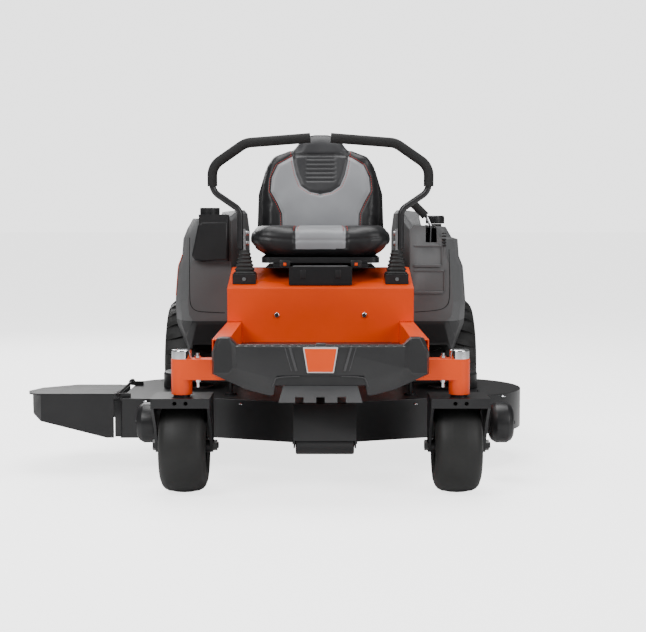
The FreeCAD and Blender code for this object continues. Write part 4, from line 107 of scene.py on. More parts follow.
SIDES = (("left", 1), ("right", -1))
Point = tuple[float, float, float]
Flat = tuple[float, float]
Colour = tuple[float, float, float]


def place(x: float, y: float, z: float) -> Vector:
    """Return a point of the maker's frame in the row's metres.

    Args:
        x: Millimetres from the centre plane.
        y: Millimetres behind the caster axles.
        z: Millimetres above the ground.

    Returns:
        The point in the row frame.
    """
    return ORIGIN + Vector((x, y, z)) * MM


class Slot(Enum):
    """Material slots of the record."""

    ORANGE = "painted_orange"
    BLACK_STEEL = "black_steel"
    GREY_PLASTIC = "grey_plastic"
    BLACK_PLASTIC = "black_plastic"
    BLACK_PAINT = "black_paint"
    CHROME = "chrome"
    BRIGHT_STEEL = "bright_steel"
    TYRE = "tyre"
    RUBBER = "black_rubber"
    FOAM = "foam_grip"
    VINYL = "seat_vinyl"
    CAST = "engine_cast"
    BRONZE = "bronze"
    RED = "red_plastic"
    BELT = "belt_rubber"


class Pattern(Enum):
    """Kinds of surface grain."""

    PEEL = "peel"
    PEBBLE = "pebble"
    BRUSHED = "brushed"
    CAST = "cast"


# ---------------------------------------------------------------------------------------------------------
# Finishes
# ---------------------------------------------------------------------------------------------------------
@dataclass(frozen=True)
class Finish:
    """A procedural surface finish: colour variation, roughness variation and a bump grain."""

    name: str
    slot: Slot
    colour: Colour
    worn: Colour
    rough: float
    spread: float = 0.08
    metal: float = 0.0
    coat: float = 0.0
    mottle: float = 7.0
    grain: float = 900.0
    bump: float = 0.12
    pattern: Pattern = Pattern.PEEL
    below: float = 0.0
    below_colour: Colour = (0.02, 0.02, 0.02)
    stripes: float = 0.0
    gloss: float = 0.34

    def material(self) -> bpy.types.Material:
        """Return the finish's material, made the first time it is asked for."""
        found = bpy.data.materials.get(self.name)
        if found:
            return found
        made = bpy.data.materials.new(self.name)
        made.use_nodes = True
        tree = made.node_tree
        shader = tree.nodes["Principled BSDF"]
        shader.inputs["Metallic"].default_value = self.metal
        shader.inputs["Specular IOR Level"].default_value = self.gloss
        shader.inputs["Coat Weight"].default_value = self.coat
        shader.inputs["Coat Roughness"].default_value = 0.12
        where = tree.nodes.new("ShaderNodeTexCoord").outputs["Object"]
        colour = self._colour(tree, where)
        tree.links.new(colour, shader.inputs["Base Color"])
        self._roughness(tree, where, shader)
        self._bump(tree, where, shader)
        made.diffuse_color = (*self.colour, 1.0)
        return made

    def _noise(
        self, tree: bpy.types.NodeTree, where: bpy.types.NodeSocket, scale: float, detail: float = 4.0
    ) -> bpy.types.NodeSocket:
        """Return the value of a noise texture of that scale, per metre."""
        node = tree.nodes.new("ShaderNodeTexNoise")
        node.inputs["Scale"].default_value = scale
        node.inputs["Detail"].default_value = detail
        tree.links.new(where, node.inputs["Vector"])
        return node.outputs["Fac"]

    def _colour(self, tree: bpy.types.NodeTree, where: bpy.types.NodeSocket) -> bpy.types.NodeSocket:
        """Return the colour socket: a mottle of the two colours, with another colour below a height."""
        ramp = tree.nodes.new("ShaderNodeValToRGB")
        ramp.color_ramp.elements[0].position = 0.3
        ramp.color_ramp.elements[0].color = (*self.colour, 1)
        ramp.color_ramp.elements[1].position = 0.75
        ramp.color_ramp.elements[1].color = (*self.worn, 1)
        tree.links.new(self._noise(tree, where, self.mottle), ramp.inputs["Fac"])
        colour = ramp.outputs["Color"]
        if self.below:
            split = tree.nodes.new("ShaderNodeSeparateXYZ")
            tree.links.new(where, split.inputs["Vector"])
            under = tree.nodes.new("ShaderNodeMath")
            under.operation = "LESS_THAN"
            under.inputs[1].default_value = self.below
            tree.links.new(split.outputs["Z"], under.inputs[0])
            mix = tree.nodes.new("ShaderNodeMixRGB")
            mix.inputs["Color2"].default_value = (*self.below_colour, 1)
            tree.links.new(under.outputs["Value"], mix.inputs["Fac"])
            tree.links.new(colour, mix.inputs["Color1"])
            colour = mix.outputs["Color"]
        return colour

    def _roughness(
        self, tree: bpy.types.NodeTree, where: bpy.types.NodeSocket, shader: bpy.types.Node
    ) -> None:
        """Vary the roughness in soft patches."""
        patch = tree.nodes.new("ShaderNodeMapRange")
        patch.inputs["To Min"].default_value = max(0.02, self.rough - self.spread)
        patch.inputs["To Max"].default_value = min(1.0, self.rough + self.spread)
        tree.links.new(self._noise(tree, where, self.mottle * 3.1), patch.inputs["Value"])
        tree.links.new(patch.outputs["Result"], shader.inputs["Roughness"])

    def _bump(self, tree: bpy.types.NodeTree, where: bpy.types.NodeSocket, shader: bpy.types.Node) -> None:
        """Add the grain as a bump."""
        if self.pattern is Pattern.PEBBLE:
            cells = tree.nodes.new("ShaderNodeTexVoronoi")
            cells.inputs["Scale"].default_value = self.grain
            tree.links.new(where, cells.inputs["Vector"])
            height = cells.outputs["Distance"]
        elif self.pattern is Pattern.BRUSHED:
            stretch = tree.nodes.new("ShaderNodeMapping")
            stretch.inputs["Scale"].default_value = (1.0, 0.06, 1.0)
            tree.links.new(where, stretch.inputs["Vector"])
            height = self._noise(tree, stretch.outputs["Vector"], self.grain, 2.0)
        else:
            height = self._noise(tree, where, self.grain, 6.0 if self.pattern is Pattern.CAST else 2.0)
        if self.stripes:
            wave = tree.nodes.new("ShaderNodeTexWave")
            wave.bands_direction = "Z"
            wave.inputs["Scale"].default_value = self.stripes
            tree.links.new(where, wave.inputs["Vector"])
            add = tree.nodes.new("ShaderNodeMath")
            tree.links.new(height, add.inputs[0])
            tree.links.new(wave.outputs["Fac"], add.inputs[1])
            height = add.outputs["Value"]
        bump = tree.nodes.new("ShaderNodeBump")
        bump.inputs["Strength"].default_value = self.bump
        bump.inputs["Distance"].default_value = 0.0006
        tree.links.new(height, bump.inputs["Height"])
        tree.links.new(bump.outputs["Normal"], shader.inputs["Normal"])


ORANGE = Finish(
    "orange_powder_coat",
    Slot.ORANGE,
    (0.86, 0.070, 0.001),
    (0.80, 0.062, 0.001),
    0.38,
    coat=0.06,
    bump=0.06,
)
BLACK = Finish(
    "black_powder_coat",
    Slot.BLACK_STEEL,
    (0.009, 0.009, 0.010),
    (0.015, 0.015, 0.016),
    0.30,
    spread=0.02,
    bump=0.03,
    gloss=0.45,
)
SATIN = Finish(
    "black_satin_paint", Slot.BLACK_PAINT, (0.011, 0.011, 0.012), (0.018, 0.018, 0.019), 0.34, gloss=0.45
)
MOULD = Finish(
    "black_moulding",
    Slot.BLACK_PLASTIC,
    (0.010, 0.010, 0.011),
    (0.017, 0.017, 0.018),
    0.38,
    grain=1500.0,
    bump=0.10,
    gloss=0.42,
    pattern=Pattern.PEBBLE,
)
COVER = Finish(
    "front_cover_moulding",
    Slot.BLACK_PLASTIC,
    (0.017, 0.017, 0.018),
    (0.025, 0.025, 0.026),
    0.34,
    grain=1500.0,
    bump=0.08,
    gloss=0.45,
    pattern=Pattern.PEBBLE,
)
GREY = Finish(
    "grey_fender_moulding",
    Slot.GREY_PLASTIC,
    (0.098, 0.099, 0.101),
    (0.118, 0.119, 0.121),
    0.44,
    grain=1300.0,
    bump=0.12,
    pattern=Pattern.PEBBLE,
    below=0.441,
    below_colour=(0.024, 0.024, 0.025),
)
CHROME = Finish(
    "chrome_plate",
    Slot.CHROME,
    (0.80, 0.81, 0.83),
    (0.72, 0.73, 0.75),
    0.10,
    spread=0.04,
    metal=1.0,
    bump=0.02,
)
STEEL = Finish(
    "brushed_steel",
    Slot.BRIGHT_STEEL,
    (0.46, 0.46, 0.47),
    (0.34, 0.34, 0.35),
    0.34,
    metal=1.0,
    pattern=Pattern.BRUSHED,
    bump=0.25,
)
TREAD_GREY = Finish(
    "step_grey", Slot.BRIGHT_STEEL, (0.060, 0.061, 0.063), (0.078, 0.079, 0.081), 0.44, bump=0.10
)
TYRE = Finish(
    "tyre_rubber", Slot.TYRE, (0.011, 0.011, 0.011), (0.020, 0.020, 0.019), 0.55, grain=700.0, bump=0.10
)
RUBBER = Finish(
    "bellows_rubber",
    Slot.RUBBER,
    (0.016, 0.016, 0.016),
    (0.028, 0.028, 0.028),
    0.52,
    grain=1200.0,
    bump=0.14,
)
FOAM = Finish(
    "grip_foam",
    Slot.FOAM,
    (0.012, 0.012, 0.012),
    (0.024, 0.024, 0.024),
    0.78,
    grain=1900.0,
    bump=0.40,
    pattern=Pattern.PEBBLE,
)
VINYL = Finish(
    "seat_vinyl_black",
    Slot.VINYL,
    (0.016, 0.016, 0.017),
    (0.026, 0.026, 0.027),
    0.44,
    grain=620.0,
    bump=0.30,
    pattern=Pattern.PEBBLE,
)
THREAD = Finish("red_thread", Slot.VINYL, (0.45, 0.02, 0.015), (0.55, 0.04, 0.02), 0.60, grain=3000.0)
CAST = Finish(
    "cast_alloy",
    Slot.CAST,
    (0.30, 0.30, 0.31),
    (0.22, 0.22, 0.225),
    0.48,
    metal=0.9,
    pattern=Pattern.CAST,
    grain=500.0,
    bump=0.35,
)
BRONZE = Finish("bush_bronze", Slot.BRONZE, (0.50, 0.31, 0.12), (0.42, 0.26, 0.10), 0.35, metal=1.0)
RED = Finish("knob_red", Slot.RED, (0.80, 0.075, 0.012), (0.70, 0.055, 0.010), 0.28, coat=0.3)
BELT = Finish(
    "belt_fabric", Slot.BELT, (0.022, 0.022, 0.022), (0.038, 0.037, 0.035), 0.72, grain=1500.0, bump=0.4
)
STRIPE = Finish("stripe_film", Slot.ORANGE, (0.86, 0.080, 0.002), (0.80, 0.070, 0.002), 0.32, coat=0.1)
PALE = Finish("pale_film", Slot.BRIGHT_STEEL, (0.70, 0.70, 0.69), (0.62, 0.62, 0.61), 0.40)
AMBER = Finish("amber_film", Slot.BRIGHT_STEEL, (0.75, 0.42, 0.02), (0.66, 0.36, 0.02), 0.40)
DARK = Finish("shadow_gap", Slot.BLACK_PLASTIC, (0.006, 0.006, 0.006), (0.010, 0.010, 0.010), 0.80)
EDGE = Finish(
    "lit_edge_moulding",
    Slot.BLACK_PLASTIC,
    (0.055, 0.055, 0.057),
    (0.070, 0.070, 0.072),
    0.34,
    grain=1500.0,
    bump=0.12,
    pattern=Pattern.PEBBLE,
)


@dataclass(frozen=True)
class SeatCover:
    """Vinyl in zones: black sides, a pale insert and a charcoal insert, told apart by two painted fields."""

    name: str
    pale: Colour = (0.235, 0.240, 0.252)
    charcoal: Colour = (0.026, 0.026, 0.028)
    black: Colour = (0.010, 0.010, 0.011)

    def material(self) -> bpy.types.Material:
        """Return the zoned vinyl material."""
        made = bpy.data.materials.new(self.name)
        made.use_nodes = True
        tree = made.node_tree
        shader = tree.nodes["Principled BSDF"]
        where = tree.nodes.new("ShaderNodeTexCoord").outputs["Object"]
        mottle = tree.nodes.new("ShaderNodeTexNoise")
        mottle.inputs["Scale"].default_value = 9.0
        tree.links.new(where, mottle.inputs["Vector"])
        last = None
        for zone, colour in (("", self.black), ("pale", self.pale), ("charcoal", self.charcoal)):
            ramp = tree.nodes.new("ShaderNodeValToRGB")
            ramp.color_ramp.elements[0].position = 0.3
            ramp.color_ramp.elements[0].color = (*colour, 1)
            ramp.color_ramp.elements[1].position = 0.8
            ramp.color_ramp.elements[1].color = (*[c * 1.22 for c in colour], 1)
            tree.links.new(mottle.outputs["Fac"], ramp.inputs["Fac"])
            if not zone:
                last = ramp.outputs["Color"]
                continue
            mask = tree.nodes.new("ShaderNodeAttribute")
            mask.attribute_name = zone
            step = tree.nodes.new("ShaderNodeMapRange")
            step.inputs["From Min"].default_value = -0.0008
            step.inputs["From Max"].default_value = 0.0008
            tree.links.new(mask.outputs["Fac"], step.inputs["Value"])
            mix = tree.nodes.new("ShaderNodeMixRGB")
            tree.links.new(step.outputs["Result"], mix.inputs["Fac"])
            tree.links.new(last, mix.inputs["Color1"])
            tree.links.new(ramp.outputs["Color"], mix.inputs["Color2"])
            last = mix.outputs["Color"]
        tree.links.new(last, shader.inputs["Base Color"])
        shader.inputs["Roughness"].default_value = 0.42
        shader.inputs["Specular IOR Level"].default_value = 0.4
        cells = tree.nodes.new("ShaderNodeTexVoronoi")
        cells.inputs["Scale"].default_value = 620.0
        tree.links.new(where, cells.inputs["Vector"])
        bump = tree.nodes.new("ShaderNodeBump")
        bump.inputs["Strength"].default_value = 0.15
        bump.inputs["Distance"].default_value = 0.0005
        tree.links.new(cells.outputs["Distance"], bump.inputs["Height"])
        tree.links.new(bump.outputs["Normal"], shader.inputs["Normal"])
        return made


# ---------------------------------------------------------------------------------------------------------
# Mesh making
# ---------------------------------------------------------------------------------------------------------
def as_object(name: str, made: bmesh.types.BMesh) -> bpy.types.Object:
    """Return a new object in the scene from a bmesh, which is freed."""
    bmesh.ops.recalc_face_normals(made, faces=made.faces)
    mesh = bpy.data.meshes.new(name)
    made.to_mesh(mesh)
    made.free()
    piece = bpy.data.objects.new(name, mesh)
    bpy.context.scene.collection.objects.link(piece)
    return piece


def settle(
    piece: bpy.types.Object,
    body: str,
    finish: Finish,
    stands_for: Sequence[str] = (),
    bevel: float = 0.0,
    smooth: float = 35.0,
) -> bpy.types.Object:
    """Give a piece its finish, its body and the nodes it stands for.

    Args:
        piece: The object, in place.
        body: The CAD body it moves with.
        finish: Its finish.
        stands_for: CAD nodes that it replaces.
        bevel: Width of a bevel on its edges, in millimetres, or 0.
        smooth: Angle in degrees under which faces shade smoothly.

    Returns:
        The same piece.
    """
    piece.data.materials.clear()
    piece.data.materials.append(finish.material())
    soften(piece, bevel, smooth)
    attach(piece, body)
    if stands_for:
        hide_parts(*stands_for)
    return piece


def soften(piece: bpy.types.Object, bevel: float, smooth: float = 35.0) -> None:
    """Bevel a piece's edges and shade its faces smoothly up to an angle."""
    for face in piece.data.polygons:
        face.use_smooth = True
    piece.data.set_sharp_from_angle(angle=math.radians(smooth))
    if bevel:
        cut = piece.modifiers.new("edges", "BEVEL")
        cut.width = bevel * MM
        cut.segments = 2
        cut.limit_method = "ANGLE"
        cut.angle_limit = math.radians(32)
        cut.use_clamp_overlap = True
        even = piece.modifiers.new("normals", "WEIGHTED_NORMAL")
        even.keep_sharp = True


def slab(
    made: bmesh.types.BMesh, low: Point, high: Point, turn: Matrix | None = None, bevel: float = 0.0
) -> list:
    """Add a block to a bmesh.

    Args:
        made: The bmesh.
        low: Its lowest corner in the maker's frame.
        high: Its highest corner.
        turn: A rotation about the block's middle, or None.
        bevel: Width of its bevelled edges in millimetres.

    Returns:
        The block's vertices.
    """
    size = [abs(b - a) * MM for a, b in zip(low, high)]
    middle = (place(*low) + place(*high)) / 2
    verts = bmesh.ops.create_cube(made, size=1.0)["verts"]
    bmesh.ops.scale(made, vec=size, verts=verts)
    if bevel:
        edges = list({e for v in verts for e in v.link_edges})
        done = bmesh.ops.bevel(
            made, geom=edges, offset=bevel * MM, segments=2, profile=0.5, affect="EDGES"
        )
        verts = list({v for f in done["faces"] for v in f.verts} | {v for v in verts if v.is_valid})
    if turn:
        bmesh.ops.rotate(made, cent=(0, 0, 0), matrix=turn, verts=verts)
    bmesh.ops.translate(made, vec=middle, verts=verts)
    return verts


def prism(made: bmesh.types.BMesh, outline: Sequence[Point], push: Point) -> None:
    """Add a prism to a bmesh: a flat outline pushed along a vector, all in the maker's frame."""
    near = [made.verts.new(place(*p)) for p in outline]
    far = [made.verts.new(place(*[a + b for a, b in zip(p, push)])) for p in outline]
    made.faces.new(near)
    made.faces.new(list(reversed(far)))
    for i in range(len(near)):
        j = (i + 1) % len(near)
        made.faces.new((near[j], near[i], far[i], far[j]))


def lathe(
    made: bmesh.types.BMesh, outline: Sequence[Flat], centre: Point, axis: str = "Z", steps: int = 64
) -> None:
    """Add a turned shape to a bmesh.

    Args:
        made: The bmesh.
        outline: (along, radius) pairs in millimetres, open at its ends.
        centre: The origin of the outline in the maker's frame.
        axis: The axis it is turned about.
        steps: Number of steps round.
    """
    rings = []
    for along, radius in outline:
        ring = []
        for i in range(steps if radius > 0.01 else 1):
            a = math.tau * i / steps
            u, v = radius * math.cos(a), radius * math.sin(a)
            local = {"X": (along, u, v), "Y": (v, along, u), "Z": (u, v, along)}[axis]
            ring.append(made.verts.new(place(*[c + d for c, d in zip(centre, local)])))
        rings.append(ring)
    for low, high in zip(rings, rings[1:]):
        for i in range(steps):
            j = (i + 1) % steps
            corners = [low[i % len(low)], low[j % len(low)], high[j % len(high)], high[i % len(high)]]
            unique = list(dict.fromkeys(corners))
            if len(unique) > 2:
                made.faces.new(unique)


def hexagon(made: bmesh.types.BMesh, centre: Point, radius: float, high: float, axis: str = "Z") -> None:
    """Add a hexagon head with a chamfered top."""
    lathe(
        made,
        [(0, 0), (0, radius), (high * 0.8, radius), (high, radius * 0.86), (high, 0)],
        centre,
        axis,
        6,
    )


def tube(
    name: str, points: Sequence[Point], radius: float, closed: bool = False, smooth: bool = True
) -> bpy.types.Object:
    """Return a round bar along points of the maker's frame, as a mesh.

    Args:
        name: The piece's name.
        points: Its line.
        radius: Its radius in millimetres.
        closed: Whether the line is a loop.
        smooth: Whether the line is a NURBS line or straight runs.

    Returns:
        The new object.
    """
    curve = bpy.data.curves.new(name, "CURVE")
    curve.dimensions = "3D"
    curve.bevel_depth = radius * MM
    curve.bevel_resolution = 3
    curve.use_fill_caps = True
    line = curve.splines.new("NURBS" if smooth else "POLY")
    line.points.add(len(points) - 1)
    for spot, point in zip(line.points, points):
        spot.co = (*place(*point), 1.0)
    line.use_cyclic_u = closed
    if smooth:
        line.order_u = 3
        line.use_endpoint_u = not closed
        line.resolution_u = 8
    holder = bpy.data.objects.new(name + "_line", curve)
    bpy.context.scene.collection.objects.link(holder)
    bpy.context.view_layer.update()
    mesh = bpy.data.meshes.new_from_object(holder.evaluated_get(bpy.context.evaluated_depsgraph_get()))
    bpy.data.objects.remove(holder)
    piece = bpy.data.objects.new(name, mesh)
    bpy.context.scene.collection.objects.link(piece)
    return piece


def mirror_points(half: Sequence[Flat]) -> list[Flat]:
    """Return a closed outline from its right half, listed from top to bottom."""
    return list(half) + [(-x, z) for x, z in reversed(half)]


def signed_distance(x: float, z: float, outline: Sequence[Flat]) -> float:
    """Return the distance from a point to a closed outline, positive inside."""
    best = 1e9
    inside = False
    for (ax, az), (bx, bz) in zip(outline, list(outline[1:]) + [outline[0]]):
        dx, dz = bx - ax, bz - az
        t = max(0.0, min(1.0, ((x - ax) * dx + (z - az) * dz) / max(dx * dx + dz * dz, 1e-9)))
        best = min(best, math.hypot(x - ax - t * dx, z - az - t * dz))
        if (az > z) != (bz > z) and x < (bx - ax) * (z - az) / (bz - az) + ax:
            inside = not inside
    return best if inside else -best


def along_line(points: Sequence[Flat], pitch: float) -> Iterable[tuple[Flat, Flat]]:
    """Yield (point, unit direction) pairs every pitch along a line of straight runs."""
    left = pitch / 2
    for (ax, az), (bx, bz) in zip(points, points[1:]):
        run = math.hypot(bx - ax, bz - az)
        ux, uz = (bx - ax) / run, (bz - az) / run
        while left < run:
            yield (ax + ux * left, az + uz * left), (ux, uz)
            left += pitch
        left -= run


# ---------------------------------------------------------------------------------------------------------
# Carried-over CAD pieces
# ---------------------------------------------------------------------------------------------------------
@dataclass
class CadDress:
    """Finishes for the CAD nodes that stay in view, with the width of their eased edges in millimetres."""

    nodes: dict[str, bpy.types.Object]
    plan: dict[str, tuple[Finish, float]] = field(default_factory=lambda: {
        "main_frame": (ORANGE, 1.5),
        "front_axle_beam": (ORANGE, 2.0),
        "caster_caps": (CHROME, 1.5),
        "caster_bushes": (BRONZE, 0.0),
        "floor_pan": (BLACK, 1.0),
        "front_step": (TREAD_GREY, 0.8),
        "body_panel": (ORANGE, 1.0),
        "bright_bolts": (CHROME, 0.6),
        "fender_left": (GREY, 3.0),
        "fender_right": (GREY, 3.0),
        "fuel_tank": (MOULD, 1.5),
        "fuel_cap": (MOULD, 1.5),
        "control_console": (MOULD, 2.0),
        "blade_switch_knob": (RED, 1.0),
        "lift_lever": (CHROME, 0.0),
        "lever_brackets": (BLACK, 0.8),
        "drive_wheel_left": (SATIN, 1.0),
        "drive_wheel_right": (SATIN, 1.0),
        "transaxles": (CAST, 4.0),
        "engine_block": (CAST, 2.0),
        "engine_covers": (MOULD, 1.0),
        "muffler": (SATIN, 1.0),
        "crank_pulley": (SATIN, 0.6),
        "rear_guard": (BLACK, 1.0),
        "hitch_plate": (BLACK, 0.8),
        "battery": (MOULD, 1.5),
        "seat_hinge_bracket": (BLACK, 0.8),
        "seat_plate": (BLACK, 0.8),
        "seat_shell": (MOULD, 2.5),
        "drive_pivot_left": (SATIN, 0.8),
        "drive_pivot_right": (SATIN, 0.8),
        "control_lever_left": (SATIN, 0.6),
        "control_lever_right": (SATIN, 0.6),
        "lap_grip_left": (FOAM, 1.5),
        "lap_grip_right": (FOAM, 1.5),
        "lever_bases": (MOULD, 2.0),
        "deck_shell": (BLACK, 1.2),
        "spindle_housings": (CAST, 1.0),
        "blade_spindle_left": (STEEL, 0.5),
        "blade_spindle_centre": (STEEL, 0.5),
        "blade_spindle_right": (STEEL, 0.5),
        "belt_covers": (MOULD, 1.5),
        "deck_belt": (BELT, 0.8),
        "deck_brackets": (BLACK, 0.8),
        "chute_deflector": (MOULD, 1.5),
        "nose_roller": (MOULD, 1.5),
        "scalp_roller_left": (MOULD, 1.5),
        "scalp_roller_right": (MOULD, 1.5),
        "caster_fork_left": (BLACK, 2.5),
        "caster_fork_right": (BLACK, 2.5),
        "caster_hub_left": (SATIN, 1.0),
        "caster_hub_right": (SATIN, 1.0),
    })

    def dress(self) -> None:
        """Weld, ease and finish each CAD node that stays."""
        for name, (finish, bevel) in self.plan.items():
            node = self.nodes[name]
            node.data.materials.clear()
            node.data.materials.append(finish.material())
            weld = node.modifiers.new("weld", "WELD")
            weld.merge_threshold = 0.00002
            for face in node.data.polygons:
                face.use_smooth = True
            if bevel:
                cut = node.modifiers.new("edges", "BEVEL")
                cut.width = bevel * MM
                cut.segments = 2
                cut.limit_method = "ANGLE"
                cut.angle_limit = math.radians(38)
                cut.harden_normals = True
            even = node.modifiers.new("normals", "WEIGHTED_NORMAL")
            even.weight = 60
            LOG.info("dressed %s", name)
        self._two_tone()

    def _two_tone(self) -> None:
        """Give the flat steel arms and the lift lever's grip their own finishes."""
        for side, s in SIDES:
            node = self.nodes[f"control_lever_{side}"]
            node.data.materials.append(STEEL.material())
            edge = place(s * 266.5, 0, 0).x
            for face in node.data.polygons:
                if (face.center.x - edge) * s < 0:
                    face.material_index = 1
        lift = self.nodes["lift_lever"]
        lift.data.materials.append(FOAM.material())
        foot = place(386, 0, 818)
        for face in lift.data.polygons:
            off = face.center - foot
            if off.x < 0 and off.z > -0.006 and face.center.z > 0.806:
                face.material_index = 1


# ---------------------------------------------------------------------------------------------------------
# Seat
# ---------------------------------------------------------------------------------------------------------
@dataclass
class Seat:
    """The padded cushion and backrest with their inserts, seams and red stitching."""

    half: float = 247.0
    front: float = 679.0
    rear: float = 1050.0
    foot: float = 679.0
    top: float = 785.0
    tuck: float = 34.0
    back_foot: Point = (0.0, 1066.0, 704.0)
    lean: float = 9.0
    back_high: float = 434.0
    back_thick: float = 92.0
    seam_deep: float = 5.0
    seam_wide: float = 7.0
    stitch_pitch: float = 9.0
    back_outline: tuple[Flat, ...] = (
        (206, 0),
        (226, 40),
        (232, 100),
        (234, 160),
        (230, 225),
        (214, 300),
        (188, 340),
        (140, 362),
        (104, 378),
        (86, 404),
        (66, 425),
        (30, 434),
    )
    pale_half: tuple[Flat, ...] = (
        (100, 338), (160, 300), (182, 250), (186, 196), (160, 150), (143, 110), (140, 40), (120, 12)
    )
    rest_half: tuple[Flat, ...] = (
        (88, 404), (108, 366), (104, 318), (92, 262), (74, 218), (40, 194), (0, 186)
    )
    rib_low: float = 238.0
    rib_pitch: float = 17.0
    rib_count: int = 7

    def build(self) -> None:
        """Build the cushion and the backrest."""
        cover = SeatCover("seat_vinyl_zones").material()
        cushion = self._cushion()
        backrest = self._backrest()
        for piece, node in ((cushion, "seat_cushion"), (backrest, "seat_backrest")):
            piece.data.materials.clear()
            piece.data.materials.append(cover)
            for face in piece.data.polygons:
                face.use_smooth = True
            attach(piece, "seat")
            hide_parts(node)
            LOG.info("padded %s", piece.name)

    def _block(
        self,
        name: str,
        outline: Sequence[Flat],
        thick: float,
        step: float,
        shape: Callable[[float, float, float], Point],
    ) -> bpy.types.Object:
        """Return a rounded padded block over a flat outline.

        Args:
            name: The piece's name.
            outline: The closed outline in the pad's own plane.
            thick: The pad's thickness.
            step: The mesh's spacing.
            shape: Turns the pad's own (across, along, depth) into the maker's frame.

        Returns:
            The block as an object, remeshed evenly.
        """
        made = bmesh.new()
        layers = [(0.0, 0.90), (0.16, 0.972), (0.5, 1.0), (0.84, 0.972), (1.0, 0.90)]
        middle = (0.0, sum(z for _, z in outline) / len(outline))
        rings = []
        for share, grow in layers:
            ring = []
            for x, z in outline:
                px, pz = middle[0] + (x - middle[0]) * grow, middle[1] + (z - middle[1]) * grow
                ring.append(made.verts.new(place(*shape(px, pz, share * thick))))
            rings.append(ring)
        for low, high in zip(rings, rings[1:]):
            for i in range(len(outline)):
                j = (i + 1) % len(outline)
                made.faces.new((low[i], low[j], high[j], high[i]))
        made.faces.new(list(reversed(rings[0])))
        made.faces.new(rings[-1])
        piece = as_object(name, made)
        again = piece.modifiers.new("even", "REMESH")
        again.mode = "VOXEL"
        again.voxel_size = step * MM
        self._apply(piece)
        return piece

    def _apply(self, piece: bpy.types.Object) -> None:
        """Apply a piece's modifiers to its mesh."""
        bpy.context.view_layer.update()
        graph = bpy.context.evaluated_depsgraph_get()
        mesh = bpy.data.meshes.new_from_object(piece.evaluated_get(graph))
        piece.modifiers.clear()
        old = piece.data
        piece.data = mesh
        bpy.data.meshes.remove(old)

    def _puff(self, piece: bpy.types.Object, cap: float) -> None:
        """Puff a pad with a short cloth simulation.

        Each point moved by no more than the cap in millimetres."""
        rest = [v.co.copy() for v in piece.data.vertices]
        cloth = piece.modifiers.new("puff", "CLOTH")
        cloth.settings.use_pressure = True
        cloth.settings.uniform_pressure_force = 4.0
        cloth.settings.tension_stiffness = 20
        cloth.settings.compression_stiffness = 20
        cloth.settings.bending_stiffness = 4
        cloth.settings.effector_weights.gravity = 0
        cloth.collision_settings.use_collision = False
        cloth.point_cache.frame_end = 20
        scene = bpy.context.scene
        for frame in range(1, 21):
            scene.frame_set(frame)
        self._apply(piece)
        for vert, home in zip(piece.data.vertices, rest):
            move = vert.co - home
            if move.length > cap * MM:
                vert.co = home + move.normalized() * cap * MM
        scene.frame_set(1)

    def _fit(self, piece: bpy.types.Object, low: Vector, high: Vector) -> None:
        """Stretch a pad's mesh to fill a box, given by its lowest and highest corners."""
        spots = [v.co for v in piece.data.vertices]
        start = Vector([min(co[i] for co in spots) for i in range(3)])
        end = Vector([max(co[i] for co in spots) for i in range(3)])
        for co in spots:
            for i in range(3):
                co[i] = low[i] + (co[i] - start[i]) * (high[i] - low[i]) / (end[i] - start[i])

    def _divide(self, piece: bpy.types.Object) -> None:
        """Smooth and subdivide a pad once."""
        ease = piece.modifiers.new("ease", "SMOOTH")
        ease.iterations = 6
        more = piece.modifiers.new("more", "SUBSURF")
        more.levels = 1
        more.render_levels = 1
        self._apply(piece)

    def _paint(
        self, piece: bpy.types.Object, zone: str, outline: Sequence[Flat], own: Callable[[Vector], Point]
    ) -> None:
        """Store a zone's signed distance in metres on the points of the pad's shown side."""
        layer = piece.data.attributes.new(zone, "FLOAT", "POINT")
        values = []
        for vert in piece.data.vertices:
            x, z, depth = own(vert.co)
            values.append(signed_distance(x, z, outline) * MM if depth < 0.62 else -1.0)
        layer.data.foreach_set("value", values)

    def _groove(
        self,
        piece: bpy.types.Object,
        seam: Sequence[Flat],
        own: Callable[[Vector], Point],
        deep: float,
        wide: float,
    ) -> None:
        """Press a seam into the shown side of a pad."""
        runs = list(zip(seam, seam[1:]))
        normals = [v.normal.copy() for v in piece.data.vertices]
        for vert, normal in zip(piece.data.vertices, normals):
            x, z, depth = own(vert.co)
            if depth > 0.62:
                continue
            best = 1e9
            for (ax, az), (bx, bz) in runs:
                dx, dz = bx - ax, bz - az
                t = max(0.0, min(1.0, ((x - ax) * dx + (z - az) * dz) / (dx * dx + dz * dz)))
                best = min(best, math.hypot(x - ax - t * dx, z - az - t * dz))
            vert.co -= normal * deep * MM * math.exp(-((best / wide) ** 2))

